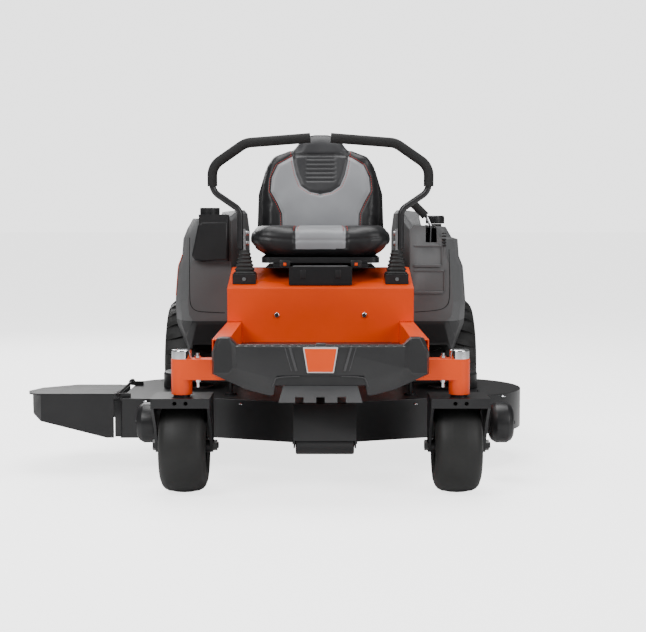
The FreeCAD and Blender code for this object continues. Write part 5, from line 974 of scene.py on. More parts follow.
    def _stitch(
        self,
        name: str,
        piece: bpy.types.Object,
        lines: Sequence[Sequence[Flat]],
        ray: Callable[[float, float], tuple[Vector, Vector]],
    ) -> None:
        """Sew red stitches along lines on a pad.

        Args:
            name: The stitching's name.
            piece: The pad.
            lines: The lines in the pad's own plane.
            ray: Gives the start and direction of a ray that meets the pad's shown side.
        """
        tree = BVHTree.FromPolygons(
            [v.co for v in piece.data.vertices], [list(p.vertices) for p in piece.data.polygons]
        )
        made = bmesh.new()
        for line in lines:
            for (x, z), (ux, uz) in along_line(line, self.stitch_pitch):
                ends = []
                for reach in (-2.6, 2.6):
                    start, way = ray(x + ux * reach, z + uz * reach)
                    hit = tree.ray_cast(start, way)
                    if hit[0] is not None:
                        ends.append(hit[0] + hit[1] * 0.0004)
                if len(ends) < 2 or (ends[1] - ends[0]).length > 0.012:
                    continue
                run = ends[1] - ends[0]
                cone = bmesh.ops.create_cone(
                    made, cap_ends=True, segments=6, radius1=0.0009, radius2=0.0009, depth=run.length
                )
                turn = run.to_track_quat("Z", "Y").to_matrix().to_4x4()
                bmesh.ops.transform(
                    made, matrix=Matrix.Translation((ends[0] + ends[1]) / 2) @ turn, verts=cone["verts"]
                )
        settle(as_object(name, made), "seat", THREAD)

    def _cushion(self) -> bpy.types.Object:
        """Build the seat cushion, with a pale centre insert and side bolsters."""
        wide, deep = self.half, (self.rear - self.front) / 2
        middle = (self.front + self.rear) / 2
        outline = []
        for i in range(48):
            a = math.tau * i / 48
            cx, cy = math.cos(a), math.sin(a)
            p = 5.2
            r = (abs(cx) ** p + abs(cy) ** p) ** (-1 / p)
            outline.append((wide * r * cx, deep * r * cy))

        def shape(x: float, y: float, up: float) -> Point:
            """Place a point of the cushion's plan at a height."""
            share = up / (self.top - self.foot)
            tuck = self.tuck * max(0.0, 1 - share / 0.5)
            return (x * (1 - tuck / wide), middle + y, self.foot + up)

        piece = self._block("cushion_cover", outline, self.top - self.foot - 4, 8.0, shape)
        self._puff(piece, 10.0)
        self._divide(piece)
        self._fit(piece, place(-wide, self.front, self.foot), place(wide, self.rear, self.top + 4))
        for vert in piece.data.vertices:
            x, y = (vert.co.x - ORIGIN.x) / MM, (vert.co.y - ORIGIN.y) / MM
            share = max(0.0, min(1.0, (vert.co.z / MM - self.foot) / (self.top - self.foot)))
            across = min(1.0, abs(x) / wide)
            along = (y - middle) / deep
            dish = 9.0 * math.exp(-((across - 0.1) / 0.42) ** 2) * math.exp(-((along + 0.05) / 0.75) ** 2)
            bolster = 5.0 * math.exp(-((across - 0.72) / 0.16) ** 2)
            fall = 10.0 * max(0.0, -along - 0.35)
            vert.co.z += (bolster - dish - fall) * MM * share
            vert.co.x = min(max(vert.co.x, place(-wide, 0, 0).x), place(wide, 0, 0).x)
            vert.co.y = max(vert.co.y, place(0, self.front - 1, 0).y)
            vert.co.z = min(max(vert.co.z, self.foot * MM), self.top * MM)

        def own(co: Vector) -> Point:
            """Return the cushion's plan coordinates, with depth 0 at the top."""
            x, y = (co.x - ORIGIN.x) / MM, (co.y - ORIGIN.y) / MM
            return x, y - max(0.0, (752 - co.z / MM)) * 0.9, 0.0 if co.z / MM > 705 else 1.0

        piece.data.update()
        insert = [(-86, 1048), (-86, 640), (86, 640), (86, 1048)]
        self._paint(piece, "pale", insert, own)
        self._paint(piece, "charcoal", [(-1, 3000), (1, 3000), (0, 3001)], own)
        for x in (-86, 86):
            self._groove(piece, [(x, 1048), (x, 640)], own, self.seam_deep, self.seam_wide)
        ring = [(x * 0.955, middle + y * 0.95 - 20) for x, y in outline]
        self._groove(piece, ring + ring[:1], own, 2.5, 5.0)

        def ray(x: float, y: float) -> tuple[Vector, Vector]:
            """Look down on the cushion's top."""
            return place(x, y, 900), Vector((0, 0, -1))

        lines = [[(x, 700), (x, 1035)] for x in (-93, 93, -79, 79)]
        self._stitch("cushion_stitches", piece, lines, ray)
        return piece

    def _backrest(self) -> bpy.types.Object:
        """Build the backrest, with its pale insert, charcoal headrest panel and ribs."""
        tilt = math.radians(self.lean)
        _, foot_y, foot_z = self.back_foot
        thick = self.back_thick

        def shape(x: float, up: float, back: float) -> Point:
            """Place a point of the backrest's face at a depth behind it."""
            thin = 1 - 0.45 * (up / self.back_high) ** 2
            behind = thick - (thick - back) * thin
            y = foot_y + behind * math.cos(tilt) + up * math.sin(tilt)
            return (x, y, foot_z + up * math.cos(tilt) - behind * math.sin(tilt) + thick * math.sin(tilt))

        def own(co: Vector) -> Point:
            """Return the face coordinates of a point, with its depth as a share of the thickness."""
            x, y, z = (co.x - ORIGIN.x) / MM, (
                co.y - ORIGIN.y
            ) / MM - foot_y, co.z / MM - foot_z - thick * math.sin(tilt)
            up = z * math.cos(tilt) + y * math.sin(tilt)
            behind = y * math.cos(tilt) - z * math.sin(tilt)
            thin = 1 - 0.45 * (min(max(up, 0), self.back_high) / self.back_high) ** 2
            return x, up, (behind - thick * (1 - thin)) / (thick * thin)

        outline = mirror_points([(x, z) for x, z in reversed(self.back_outline)])
        piece = self._block("backrest_cover", outline, thick, 8.0, shape)
        self._puff(piece, 10.0)
        self._divide(piece)
        lumbar = Vector((0, -math.cos(tilt), math.sin(tilt)))
        for vert in piece.data.vertices:
            x, up, depth = own(vert.co)
            if depth > 0.7:
                continue
            wing = 9.0 * math.exp(-((abs(x) - 196) / 26) ** 2) * (1 if up < 330 else 0.4)
            belly = 7.0 * math.exp(-((up - 110) / 80) ** 2) * math.exp(-(x / 130) ** 2)
            hollow = 8.0 * math.exp(-((up - 270) / 90) ** 2) * math.exp(-(x / 120) ** 2)
            vert.co += lumbar * (wing + belly - hollow) * MM * max(0.0, 0.7 - depth)
        piece.data.update()
        pale = mirror_points(self.pale_half)
        rest = mirror_points(self.rest_half)
        self._groove(piece, pale + pale[:1], own, self.seam_deep, self.seam_wide)
        self._groove(piece, [(x, z) for x, z in self.rest_half], own, self.seam_deep, self.seam_wide)
        self._groove(piece, [(-x, z) for x, z in self.rest_half], own, self.seam_deep, self.seam_wide)
        for i in range(self.rib_count):
            z = self.rib_low + i * self.rib_pitch
            self._groove(piece, [(-52, z), (52, z)], own, 3.2, 3.6)
        self._paint(piece, "pale", pale, own)
        self._paint(piece, "charcoal", rest + [(-60, 460), (60, 460)], own)

        def ray(x: float, up: float) -> tuple[Vector, Vector]:
            """Look at the backrest's face from in front."""
            face = place(*shape(x, up, 0))
            return face + lumbar * 0.15, -lumbar

        lines = []
        for s in (-1, 1):
            lines.append([(s * (x + 7), z) for x, z in self.pale_half])
            lines.append([(s * (x + 6), z - 5) for x, z in self.rest_half[1:]])
        self._stitch("backrest_stitches", piece, lines, ray)
        return piece


# ---------------------------------------------------------------------------------------------------------
# Front cover
# ---------------------------------------------------------------------------------------------------------
@dataclass
class FrontCover:
    """The moulded front cover with its horns, raised side blocks, creases, ribs and plain badge."""

    face: float = -165.0
    inset: float = -155.0
    low: float = -138.0
    back: float = -107.0
    wall: float = 4.0

    def build(self) -> None:
        """Build the cover and its trim."""
        made = bmesh.new()
        f, n, w = self.face, self.inset, self.low
        block = [(303, 436), (283, 474), (259, 474), (254, 460), (250, 388), (262, 374), (304, 372)]
        front = [(x, f + (5 if z > 455 else 0), z) for x, z in block]
        strip = [(254, f + 5, 460), (241, n, 449), (237, n, 386), (250, f, 388)]
        horn = [(259, f + 5, 474), (237, n + 8, 452), (241, n, 449), (254, f + 5, 460)]
        panel = [(241, n, 449), (0, n, 449), (0, n, 365), (124, n, 365), (134, n, 358), (237, n, 386)]
        chin = [(237, n, 386), (134, n, 358), (124, n, 365), (135, w, 308), (146, w, 306), (212, w, 323)]
        cheek = [
            (250, f, 388), (237, n, 386), (212, w, 323), (283, w + 2, 356), (304, f, 372), (262, f, 374)
        ]
        side = [(303, f, 436), (304, f, 372), (311, f + 24, 369), (311, f + 24, 431)]
        crown = [(283, f + 5, 474), (303, f, 436), (311, f + 24, 431), (297, f + 24, 471)]
        foot = [(304, f, 372), (283, w + 2, 356), (311, f + 24, 369)]
        top = [(241, n, 449), (237, n + 8, 452), (0, n + 8, 452), (0, n, 449)]
        for s in (1, -1):
            for shape in (front, strip, horn, panel, chin, cheek, side, crown, foot, top):
                ring = [made.verts.new(place(s * x, y, z)) for x, y, z in shape]
                made.faces.new(ring if s > 0 else list(reversed(ring)))
        bmesh.ops.remove_doubles(made, verts=made.verts, dist=0.0004)
        edges = [e for e in made.edges if e.is_boundary]
        walls = bmesh.ops.extrude_edge_only(made, edges=edges)
        for vert in [g for g in walls["geom"] if isinstance(g, bmesh.types.BMVert)]:
            vert.co.y = place(0, self.back, 0).y
        piece = as_object("front_cover", made)
        thick = piece.modifiers.new("wall", "SOLIDIFY")
        thick.thickness = self.wall * MM
        thick.offset = -1
        settle(piece, "frame", COVER, ["front_bumper"], bevel=3.0, smooth=24)
        self._trim()
        LOG.info("front cover")

    def _trim(self) -> None:
        """Add the recess above the step, the ribs, the top edge line, the small catch and the badge."""
        n = self.inset
        made = bmesh.new()
        prism(
            made,
            [(-126, n + 4, 366), (126, n + 4, 366), (132, n + 7, 337), (-132, n + 7, 337)],
            (0, 3, 0),
        )
        settle(as_object("cover_recess", made), "frame", MOULD, bevel=0.6)
        for side, s in SIDES:
            line = [
                (s * 60, n - 1, 364),
                (s * 123, n - 1, 363.5),
                (s * 131, n + 2, 352),
                (s * 137, n + 8, 334),
            ]
            settle(tube(f"cover_lip_{side}", line, 1.5), "frame", EDGE)
        made = bmesh.new()
        for s in (1, -1):
            prism(
                made,
                [(s * 84, n + 1, 446), (s * 91, n + 1, 446), (s * 72, n + 1, 379), (s * 65, n + 1, 379)],
                (0, -5, 0),
            )
            prism(
                made,
                [
                    (s * 100, n + 1, 446),
                    (s * 103, n + 1, 446),
                    (s * 84, n + 1, 379),
                    (s * 81, n + 1, 379),
                ],
                (0, -3, 0),
            )
        settle(as_object("cover_ribs", made), "frame", EDGE, bevel=0.8)
        made = bmesh.new()
        slab(made, (-13, n + 6, 449), (15, n + 30, 457), bevel=1.5)
        for i in range(19):
            x = -225 + i * 25
            if abs(x) > 20:
                slab(made, (x - 9, n + 2, 450), (x + 9, n + 12, 453.5), bevel=0.8)
        settle(as_object("cover_top_catches", made), "frame", EDGE)
        made = bmesh.new()
        prism(made, [(-50, n, 447), (50, n, 447), (38, n, 374), (-38, n, 374)], (0, -6, 0))
        settle(as_object("badge_border", made), "frame", PALE, bevel=1.2)
        made = bmesh.new()
        prism(
            made,
            [(-46, n - 5, 443.5), (46, n - 5, 443.5), (35, n - 5, 377.5), (-35, n - 5, 377.5)],
            (0, -3, 0),
        )
        settle(as_object("badge_plate", made), "frame", STRIPE, bevel=1.2)


# ---------------------------------------------------------------------------------------------------------
# Tyres
# ---------------------------------------------------------------------------------------------------------
@dataclass
class Tyres:
    """Treaded drive tyres and smooth ribbed caster tyres."""

    drive_x: float = 458.0
    drive_y: float = 1250.0
    drive_r: float = 254.0
    drive_half: float = 127.0
    lug_rows: int = 26
    lug_high: float = 11.0
    caster_x: float = 404.0
    caster_r: float = 139.9
    caster_half: float = 69.0

    def build(self) -> None:
        """Build the four tyres."""
        for side, s in SIDES:
            self._drive(side, s)
            self._caster(side, s)
            LOG.info("tyres %s", side)

    def _drive(self, side: str, s: int) -> None:
        """Build a drive tyre with chevron lugs."""
        body = self.drive_r - self.lug_high
        half = self.drive_half
        outline = [
            (-100, 103),
            (-108, 112),
            (-122, 148),
            (-half + 0.5, 190),
            (-half + 4, 214),
            (-112, 229),
            (-92, 237),
            (-50, body - 2),
            (0, body),
        ]
        outline += [(-a, r) for a, r in reversed(outline[:-1])]
        made = bmesh.new()
        lathe(made, outline, (s * self.drive_x, self.drive_y, self.drive_r), "X", 96)
        for ridge in (196, 172):
            lathe(
                made,
                [(half - 3.5, ridge - 3), (half - 0.6, ridge), (half - 3.5, ridge + 3)],
                (s * self.drive_x, self.drive_y, self.drive_r),
                "X",
                96,
            )
        centre = (s * self.drive_x, self.drive_y, self.drive_r)
        for row in range(self.lug_rows):
            for hand in (1, -1):
                turn = math.tau * (row + (0.5 if hand < 0 else 0.0)) / self.lug_rows
                self._lug(made, centre, turn, hand)
        settle(
            as_object(f"drive_tread_{side}", made),
            f"drive_{side}",
            TYRE,
            [f"drive_tyre_{side}"],
            smooth=30,
        )

    def _lug(self, made: bmesh.types.BMesh, centre: Point, turn: float, hand: int) -> None:
        """Add one lug: a bar from near the middle to the shoulder, swept back, inside the tyre's outline."""
        stations = [
            (6, 0.0, 254.0),
            (38, 0.045, 253.2),
            (74, 0.085, 249.5),
            (100, 0.10, 242.0),
            (119, 0.105, 224.0),
        ]
        wide = 0.052
        rings = []
        for along, skew, outer in stations:
            inner = min(outer - 10, self.drive_r - self.lug_high - 2)
            spots = []
            for edge, radius in ((-1, inner), (-1, outer), (1, outer), (1, inner)):
                a = turn + skew + edge * wide * (1.0 if radius == inner else 0.78)
                spots.append((along * hand, radius * math.cos(a), radius * math.sin(a)))
            rings.append([made.verts.new(place(*[c + d for c, d in zip(centre, p)])) for p in spots])
        for low, high in zip(rings, rings[1:]):
            for i in range(4):
                j = (i + 1) % 4
                made.faces.new((low[i], low[j], high[j], high[i]))
        made.faces.new(rings[0])
        made.faces.new(rings[-1])

    def _caster(self, side: str, s: int) -> None:
        """Build a caster tyre with fine ribs at its shoulders."""
        r, half = self.caster_r, self.caster_half
        outline = [(-60, 66), (-66, 74), (-half, 92), (-half + 1, 108), (-63, 121), (-56, 129), (-44, 135)]
        outline += [(-32, r - 3.4), (-24, r - 1.6)]
        outline += [(-18, r - 0.8), (0, r)]
        outline += [(-a, b) for a, b in reversed(outline[:-1])]
        made = bmesh.new()
        lathe(made, outline, (s * self.caster_x, 0, 140.0), "X", 96)
        for ridge in (84, 100):
            for hand in (1, -1):
                x = hand * (half - 1.6)
                lathe(
                    made,
                    [(x - hand, ridge - 2), (x + hand * 1.2, ridge), (x - hand, ridge + 2)],
                    (s * self.caster_x, 0, 140.0),
                    "X",
                    96,
                )
        settle(
            as_object(f"caster_tread_{side}", made),
            f"caster_wheel_{side}",
            TYRE,
            [f"caster_tyre_{side}"],
            smooth=30,
        )


# ---------------------------------------------------------------------------------------------------------
# Lever boots and small controls
# ---------------------------------------------------------------------------------------------------------
@dataclass
class Controls:
    """Bellows boots, knob ribs, cap ribs and lever hardware."""

    lever_x: float = 262.0
    lever_y: float = 690.0
    base_top: float = 621.0
    split: float = 640.0
    boot_top: float = 702.0

    def build(self) -> None:
        """Build the boots and the trim of the small controls."""
        for side, s in SIDES:
            self._boot(side, s)
        self._ribs()
        self._hardware()
        LOG.info("controls")

    def _ring(self, made: bmesh.types.BMesh, s: int, z: float, radius: float, square: float) -> list:
        """Add one ring of a boot, between a circle and a square."""
        ring = []
        for i in range(40):
            a = math.tau * i / 40
            cx, cy = math.cos(a), math.sin(a)
            p = 2 + 4 * square
            r = radius * (abs(cx) ** p + abs(cy) ** p) ** (-1 / p)
            ring.append(made.verts.new(place(s * self.lever_x + r * cx, self.lever_y + r * cy, z)))
        return ring

    def _boot(self, side: str, s: int) -> None:
        """Build a boot in two parts."""
        spans = ((self.base_top, self.split, "low"), (self.split - 1.0, self.boot_top, "high"))
        for low, high, part in spans:
            made = bmesh.new()
            steps = max(8, int((high - low) / 1.6))
            rings = []
            for i in range(steps + 1):
                z = low + (high - low) * i / steps
                share = (z - self.base_top) / (self.boot_top - self.base_top)
                fold = 2.6 * math.sin((z - self.base_top) / 13.0 * math.tau) * (1 - 0.3 * share)
                radius = 37.0 - 19.0 * share ** 0.8 + fold - (1.0 if part == "high" and i == 0 else 0)
                if z > self.boot_top - 9:
                    radius = 18.5
                rings.append(self._ring(made, s, z, radius, max(0.0, 1 - share * 1.5)))
            for a, b in zip(rings, rings[1:]):
                for i in range(40):
                    j = (i + 1) % 40
                    made.faces.new((a[i], a[j], b[j], b[i]))
            piece = as_object(f"boot_{part}_{side}", made)
            thick = piece.modifiers.new("wall", "SOLIDIFY")
            thick.thickness = 2 * MM
            thick.offset = -1
            piece.data.materials.append(RUBBER.material())
            soften(piece, 0.0, 50)
            place(s * self.lever_x, self.lever_y, low)
            place(s * self.lever_x, self.lever_y, high)
            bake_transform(piece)
            if part == "low" and s > 0:
                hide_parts("lever_boots")

    def _ribs(self) -> None:
        """Add the ribs round the switch ring, the knob and the fuel cap."""
        made = bmesh.new()
        for i in range(30):
            a = math.tau * i / 30
            x, y = -400 + 34.6 * math.cos(a), 922 + 34.6 * math.sin(a)
            slab(made, (x - 1.2, y - 1.4, 826), (x + 1.2, y + 1.4, 847), Matrix.Rotation(a, 3, "Z"))
        settle(as_object("switch_ring_ribs", made), "frame", MOULD, bevel=0.4)
        made = bmesh.new()
        for i in range(14):
            a = math.tau * i / 14
            x, y = -400 + 20.5 * math.cos(a), 922 + 20.5 * math.sin(a)
            slab(
                made,
                (x - 1.6, y - 1.6, 836),
                (x + 1.6, y + 1.6, 846.5),
                Matrix.Rotation(a, 3, "Z"),
                bevel=0.6,
            )
        settle(as_object("knob_ribs", made), "switch", RED)
        made = bmesh.new()
        for i in range(28):
            a = math.tau * i / 28
            x, y = 428 + 33.4 * math.cos(a), 1080 + 33.4 * math.sin(a)
            slab(
                made,
                (x - 1.4, y - 1.6, 793),
                (x + 1.4, y + 1.6, 813),
                Matrix.Rotation(a, 3, "Z"),
                bevel=0.6,
            )
        settle(as_object("fuel_cap_ribs", made), "cap", MOULD)

    def _hardware(self) -> None:
        """Add hexagon heads on the arms, the seat hinge's catches and the plain plate on the body panel."""
        for side, s in SIDES:
            made = bmesh.new()
            for z in (725, 760):
                hexagon(
                    made, (s * (self.lever_x - 10.5), self.lever_y, z), 8.2, 6.0 if s < 0 else 5.0, "X"
                )
            settle(as_object(f"arm_bolts_{side}", made), f"lever_{side}", STEEL, bevel=0.4)
        made = bmesh.new()
        for s in (1, -1):
            slab(made, (s * 122 - 18, 640, 646), (s * 122 + 18, 652, 668), bevel=1.5)
            slab(made, (s * 60 - 9, 622.5, 606), (s * 60 + 9, 625.2, 636), bevel=0.8)
        settle(as_object("seat_catches", made), "frame", SATIN)
        made = bmesh.new()
        for s in (1, -1):
            slab(made, (s * 122 - 5, 638.6, 650), (s * 122 + 5, 640.4, 660), bevel=0.4)
        settle(as_object("seat_catch_marks", made), "frame", STRIPE)
        made = bmesh.new()
        slope = math.atan2(60, 260)
        slab(made, (152, 664, 592.2), (206, 742, 593.0), Matrix.Rotation(slope, 3, "X"))
        bmesh.ops.translate(made, vec=(0, 0, 0.0038), verts=made.verts)
        settle(as_object("panel_plate", made), "frame", PALE)


# ---------------------------------------------------------------------------------------------------------
# Fenders
# ---------------------------------------------------------------------------------------------------------
@dataclass
class FenderTrim:
    """Ledges, vents and seam lines on the two fenders."""

    front: float = 880.0
    slot_half: float = 13.0

    def build(self) -> None:
        """Build the trim of both fenders."""
        self._pockets()
        self._vents()
        self._seams()
        self._stripe()
        self._console_flank()
        LOG.info("fender trim")

    def _stripe(self) -> None:
        """Lay the orange stripe film on the outer side of the right fender."""
        node = bpy.data.objects["fender_right"]
        tree = BVHTree.FromPolygons(
            [v.co for v in node.data.vertices],
            [list(p.vertices) for p in node.data.polygons],
        )
        made = bmesh.new()
        columns = []
        for i in range(25):
            y = 1000 + i * 13
            low, high = 524 + 0.16 * (y - 1000), 678 - 0.10 * (y - 1000)
            column = []
            for j in range(9):
                z = low + (high - low) * j / 8
                hit = tree.ray_cast(place(-720, y, z), Vector((1, 0, 0)))
                column.append(
                    made.verts.new(hit[0] + Vector((-0.0012, 0, 0))) if hit[0] is not None else None
                )
            columns.append(column)
        for near, far in zip(columns, columns[1:]):
            for j in range(8):
                corners = [near[j], far[j], far[j + 1], near[j + 1]]
                if None not in corners:
                    made.faces.new(corners)
        film = as_object("fender_stripe", made)
        thick = film.modifiers.new("film", "SOLIDIFY")
        thick.thickness = 0.0009
        thick.offset = 0
        settle(film, "frame", STRIPE)

    def _console_flank(self) -> None:
        """Add the console's slanted outer flank beside the right fender."""
        made = bmesh.new()
        y = self.front - 31.5
        outline = [
            (-330, 800), (-424, 800), (-437, 790), (-461, 676), (-452, 662), (-424, 655), (-330, 660)
        ]
        prism(made, [(x, y, z) for x, z in outline], (0, 30, 0))
        settle(as_object("console_flank", made), "frame", MOULD, bevel=7.0)

    def _pockets(self) -> None:
        """Add the two recessed pockets' ledges in front of the left fender."""
        made = bmesh.new()
        y = self.front
        for low, high, outer in ((636, 716, 440), (540, 626, 450)):
            t = 7
            prism(
                made,
                [
                    (336, y + 1, high),
                    (outer, y + 1, high),
                    (outer, y + 1, high - t),
                    (336, y + 1, high - t),
                ],
                (0, -5, 0),
            )
            prism(
                made,
                [
                    (336, y + 1, low + t + 3),
                    (outer - 6, y + 1, low + t + 3),
                    (outer - 12, y + 1, low),
                    (336, y + 1, low),
                ],
                (0, -9, 0),
            )
            prism(
                made,
                [
                    (outer, y + 1, high),
                    (outer, y + 1, low + t + 3),
                    (outer - 6, y + 1, low + t + 3),
                    (outer - 6, y + 1, high),
                ],
                (0, -5, 0),
            )
        settle(as_object("fender_pockets", made), "frame", GREY, bevel=1.6)

    def _vents(self) -> None:
        """Add the louvres beside the fuel cap."""
        made = bmesh.new()
        for i in range(5):
            z = 712 + i * 11
            slab(made, (436, 876, z), (452, 884, z + 4), Matrix.Rotation(0.35, 3, "X"), bevel=0.8)
        settle(as_object("fender_louvres", made), "frame", MOULD)
        made = bmesh.new()
        for dx in (-self.slot_half, self.slot_half):
            slab(made, (398 + dx - 2.5, 884, 782), (398 + dx + 2.5, 992, 787), bevel=1.5)
        settle(as_object("lift_slot_lips", made), "frame", EDGE)

    def _seams(self) -> None:
        """Add the shadow seams."""
        y = self.front - 0.2
        line = [
            (-470, y, 742),
            (-472, y, 640),
            (-472, y, 540),
            (-470, y, 500),
            (-455, y, 480),
            (-430, y, 474),
            (-345, y, 471),
        ]
        settle(tube("fender_seam_right", line, 1.3), "frame", DARK)
        line = [(462, y, 700), (466, y, 600), (466, y, 520), (455, y, 492), (420, y, 478), (340, y, 474)]
        settle(tube("fender_seam_left", line, 1.3), "frame", DARK)


# ---------------------------------------------------------------------------------------------------------
# Deck, engine and rear
# ---------------------------------------------------------------------------------------------------------
@dataclass
class DeckTrim:
    """Carriage bolts, plain plates and the outlet's cheek on the mowing deck."""

    top: float = 229.0

    def build(self) -> None:
        """Build the trim of the deck."""
        made = bmesh.new()
        for x, y in (
            (-560, 300),
            (-560, 760),
            (-250, 240),
            (-90, 240),
            (120, 240),
            (300, 240),
            (470, 300),
            (600, 420),
            (600, 700),
        ):
            lathe(made, [(0, 8.5), (1.2, 8.5), (3.2, 6.5), (4.2, 0.2)], (x, y, self.top - 0.4), "Z", 20)
        settle(as_object("deck_carriage_bolts", made), "deck", CHROME)
        self._plates()
        made = bmesh.new()
        slab(made, (-657, 296, 116), (-636, 301, 231), bevel=1.0)
        settle(as_object("outlet_cheek", made), "deck", BLACK)
        LOG.info("deck trim")

    def _plates(self) -> None:
        """Add the plain coloured plates, with no words on them."""
        up = self.top
        spots = (
            ("deck_plate_amber", (-628, 560), (-560, 640), AMBER),
            ("deck_plate_pale", (-628, 478), (-560, 552), PALE),
            ("deck_plate_border", (580, 520), (655, 730), PALE),
        )
        for name, (x0, y0), (x1, y1), finish in spots:
            made = bmesh.new()
            slab(made, (x0, y0, up - 0.2), (x1, y1, up + 0.6), bevel=0.2)
            settle(as_object(name, made), "deck", finish)
        made = bmesh.new()
        slab(made, (584, 524, up), (651, 726, up + 1.0), bevel=0.2)
        settle(as_object("deck_plate_dark", made), "deck", MOULD)


@dataclass
class EngineTrim:
    """Screen ribs and hexagon screw heads on the engine's covers."""

    ring_radii: tuple[float, ...] = (52, 68, 84, 100, 116)
    spoke_count: int = 24
    spoke_circle: float = 84
    screw_count: int = 6
    screw_circle: float = 140

    def build(self, nodes: dict[str, bpy.types.Object]) -> None:
        """Build the engine's trim inside the carried-over covers.

        Args:
            nodes: The CAD nodes by name.
        """
        low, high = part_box("engine_covers")
        cx, cy, top = (low.x + high.x) / 2, (low.y + high.y) / 2, high.z
        made = bmesh.new()
        centre = ((cx - ORIGIN.x) / MM, (cy - ORIGIN.y) / MM, top / MM)
        for radius in self.ring_radii:
            lathe(
                made,
                [(-2.2, radius - 2), (-0.3, radius - 1.2), (-0.3, radius + 1.2), (-2.2, radius + 2)],
                centre,
                "Z",
                64,
            )
        for i in range(self.spoke_count):
            a = math.tau * i / self.spoke_count
            turn = Matrix.Rotation(a, 3, "Z")
            x = centre[0] + self.spoke_circle * math.cos(a)
            y = centre[1] + self.spoke_circle * math.sin(a)
            slab(made, (x - 34, y - 1.3, centre[2] - 2.6), (x + 34, y + 1.3, centre[2] - 0.5), turn)
        settle(as_object("engine_screen_ribs", made), "frame", EDGE)
        made = bmesh.new()
        for i in range(self.screw_count):
            a = math.tau * (i + 0.5) / self.screw_count
            dx, dy = self.screw_circle * math.cos(a), self.screw_circle * math.sin(a)
            spot = (centre[0] + dx, centre[1] + dy, centre[2] - 3)
            hexagon(made, spot, 6, 2.5, "Z")
        settle(as_object("engine_cover_screws", made), "frame", STEEL, bevel=0.3)
        LOG.info("engine trim on %s", nodes["engine_covers"].name)


@dataclass
class FloorTrim:
    """Treads on the floor pan."""

    rib_count: int = 13
    rib_first: float = 130
    rib_pitch: float = 30
    rib_wide: float = 9
    rib_half: float = 270

    def build(self) -> None:
        """Build the ribs of the floor mat."""
        low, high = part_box("floor_pan")
        x0, x1 = (low.x - ORIGIN.x) / MM, (high.x - ORIGIN.x) / MM
        made = bmesh.new()
        top = self._floor_height()
        rib_x0, rib_x1 = max(x0 + 40, -self.rib_half), min(x1 - 40, self.rib_half)
        for i in range(self.rib_count):
            y = self.rib_first + i * self.rib_pitch
            slab(made, (rib_x0, y, top - 0.2), (rib_x1, y + self.rib_wide, top + 2.4), bevel=0.9)
        settle(as_object("floor_ribs", made), "frame", MOULD)
        LOG.info("floor ribs at %.0f", top)

    def _floor_height(self) -> float:
        """Return the height of the floor's flat top under the operator's feet, in millimetres."""
        node = bpy.data.objects["floor_pan"]
        tree = BVHTree.FromPolygons(
            [v.co for v in node.data.vertices], [list(p.vertices) for p in node.data.polygons]
        )
        hit = tree.ray_cast(place(40, 300, 700), Vector((0, 0, -1)))
        return hit[0].z / MM if hit[0] is not None else 0.0


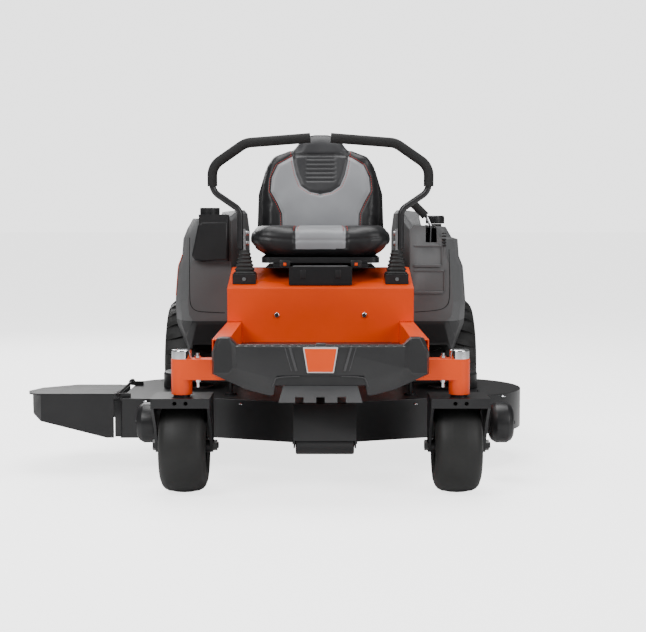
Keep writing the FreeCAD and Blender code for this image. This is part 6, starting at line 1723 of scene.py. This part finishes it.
# ---------------------------------------------------------------------------------------------------------
# Studio
# ---------------------------------------------------------------------------------------------------------
@dataclass
class Studio:
    """A pale floor, soft lights and the camera."""

    floor_half: float = 60.0
    ambient: float = 0.16
    backdrop: float = 2.6
    floor_glow: float = 2.3
    camera_back: float = 4.0
    camera_high: float = 0.823
    drop: tuple[float, float] = (101.0, 1356.0)
    across: float = 646.0
    middle: tuple[float, float] = (320.5, 323.0)

    def build(self) -> None:
        """Build the floor, the world, the lights and the camera."""
        self._floor()
        self._world()
        self._light("key", (-2.6, -3.8, 3.6), 2.6, 185.0)
        self._light("fill", (3.4, -3.4, 2.4), 2.6, 105.0)
        self._light("over", (0.1, 0.4, 4.2), 3.4, 170.0)
        self._light("rear", (-1.5, 3.6, 2.6), 2.2, 80.0)
        self._camera()
        LOG.info("studio")

    def _floor(self) -> None:
        """Lay a large plain floor at the tyres' lowest point."""
        made = bmesh.new()
        corners = [(-1, -1), (1, -1), (1, 1), (-1, 1)]
        made.faces.new(
            [made.verts.new((x * self.floor_half, y * self.floor_half, 0.0)) for x, y in corners]
        )
        floor = as_object("studio_floor", made)
        paint = bpy.data.materials.new("studio_floor")
        paint.use_nodes = True
        shader = paint.node_tree.nodes["Principled BSDF"]
        shader.inputs["Base Color"].default_value = (0.93, 0.93, 0.93, 1)
        shader.inputs["Roughness"].default_value = 0.75
        shader.inputs["Emission Color"].default_value = (1, 1, 1, 1)
        ray = paint.node_tree.nodes.new("ShaderNodeLightPath")
        glow = paint.node_tree.nodes.new("ShaderNodeMath")
        glow.operation = "MULTIPLY"
        glow.inputs[1].default_value = self.floor_glow
        paint.node_tree.links.new(ray.outputs["Is Camera Ray"], glow.inputs[0])
        paint.node_tree.links.new(glow.outputs["Value"], shader.inputs["Emission Strength"])
        floor.data.materials.append(paint)
        floor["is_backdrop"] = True

    def _world(self) -> None:
        """Set a near-white surround to look at, which lights the machine softly."""
        world = bpy.data.worlds.new("studio")
        world.use_nodes = True
        tree = world.node_tree
        soft = tree.nodes["Background"]
        soft.inputs["Color"].default_value = (1.0, 1.0, 1.0, 1)
        soft.inputs["Strength"].default_value = self.ambient
        seen = tree.nodes.new("ShaderNodeBackground")
        seen.inputs["Color"].default_value = (1.0, 1.0, 1.0, 1)
        seen.inputs["Strength"].default_value = self.backdrop
        ray = tree.nodes.new("ShaderNodeLightPath")
        mix = tree.nodes.new("ShaderNodeMixShader")
        tree.links.new(ray.outputs["Is Camera Ray"], mix.inputs["Fac"])
        tree.links.new(soft.outputs["Background"], mix.inputs[1])
        tree.links.new(seen.outputs["Background"], mix.inputs[2])
        tree.links.new(mix.outputs["Shader"], tree.nodes["World Output"].inputs["Surface"])
        bpy.context.scene.world = world

    def _light(self, name: str, spot: Point, size: float, power: float) -> None:
        """Hang one soft area light aimed at the machine.

        Args:
            name: The light's name.
            spot: Where it hangs, in metres.
            size: Its width, in metres.
            power: Its power, in watts.
        """
        lamp = bpy.data.lights.new(name, "AREA")
        lamp.shape = "DISK"
        lamp.size = size
        lamp.energy = power
        made = bpy.data.objects.new(name, lamp)
        made.location = spot
        made.rotation_euler = (Vector((0.1, 0.0, 0.4)) - Vector(spot)).to_track_quat("-Z", "Y").to_euler()
        bpy.context.scene.collection.objects.link(made)
        made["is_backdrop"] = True

    def _camera(self) -> None:
        """Place the camera in front, a little above the seat's cushion."""
        lens = bpy.data.cameras.new("camera")
        lens.sensor_width = 36.0
        lens.lens = self.drop[1] / self.across * 36.0
        lens.shift_x = (self.middle[1] - self.middle[0]) / self.across
        eye = bpy.data.objects.new("camera", lens)
        eye.location = (ORIGIN.x, ORIGIN.y - self.camera_back, self.camera_high)
        eye.rotation_euler = (math.pi / 2 - math.atan2(*self.drop), 0.0, 0.0)
        bpy.context.scene.collection.objects.link(eye)
        bpy.context.scene.camera = eye


def main() -> None:
    """Build the mower over the frame, in order."""
    logging.basicConfig(level=logging.INFO, format="%(message)s")
    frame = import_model()
    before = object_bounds()
    CadDress(frame["nodes"]).dress()
    Seat().build()
    FrontCover().build()
    Tyres().build()
    Controls().build()
    FenderTrim().build()
    DeckTrim().build()
    EngineTrim().build(frame["nodes"])
    FloorTrim().build()
    Studio().build()
    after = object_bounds()
    sizes = {
        key: [list(corner) for corner in value] for key, value in (("before", before), ("after", after))
    }
    LOG.info("size before %s after %s", sizes["before"], sizes["after"])


if __name__ == "__main__":
    main()
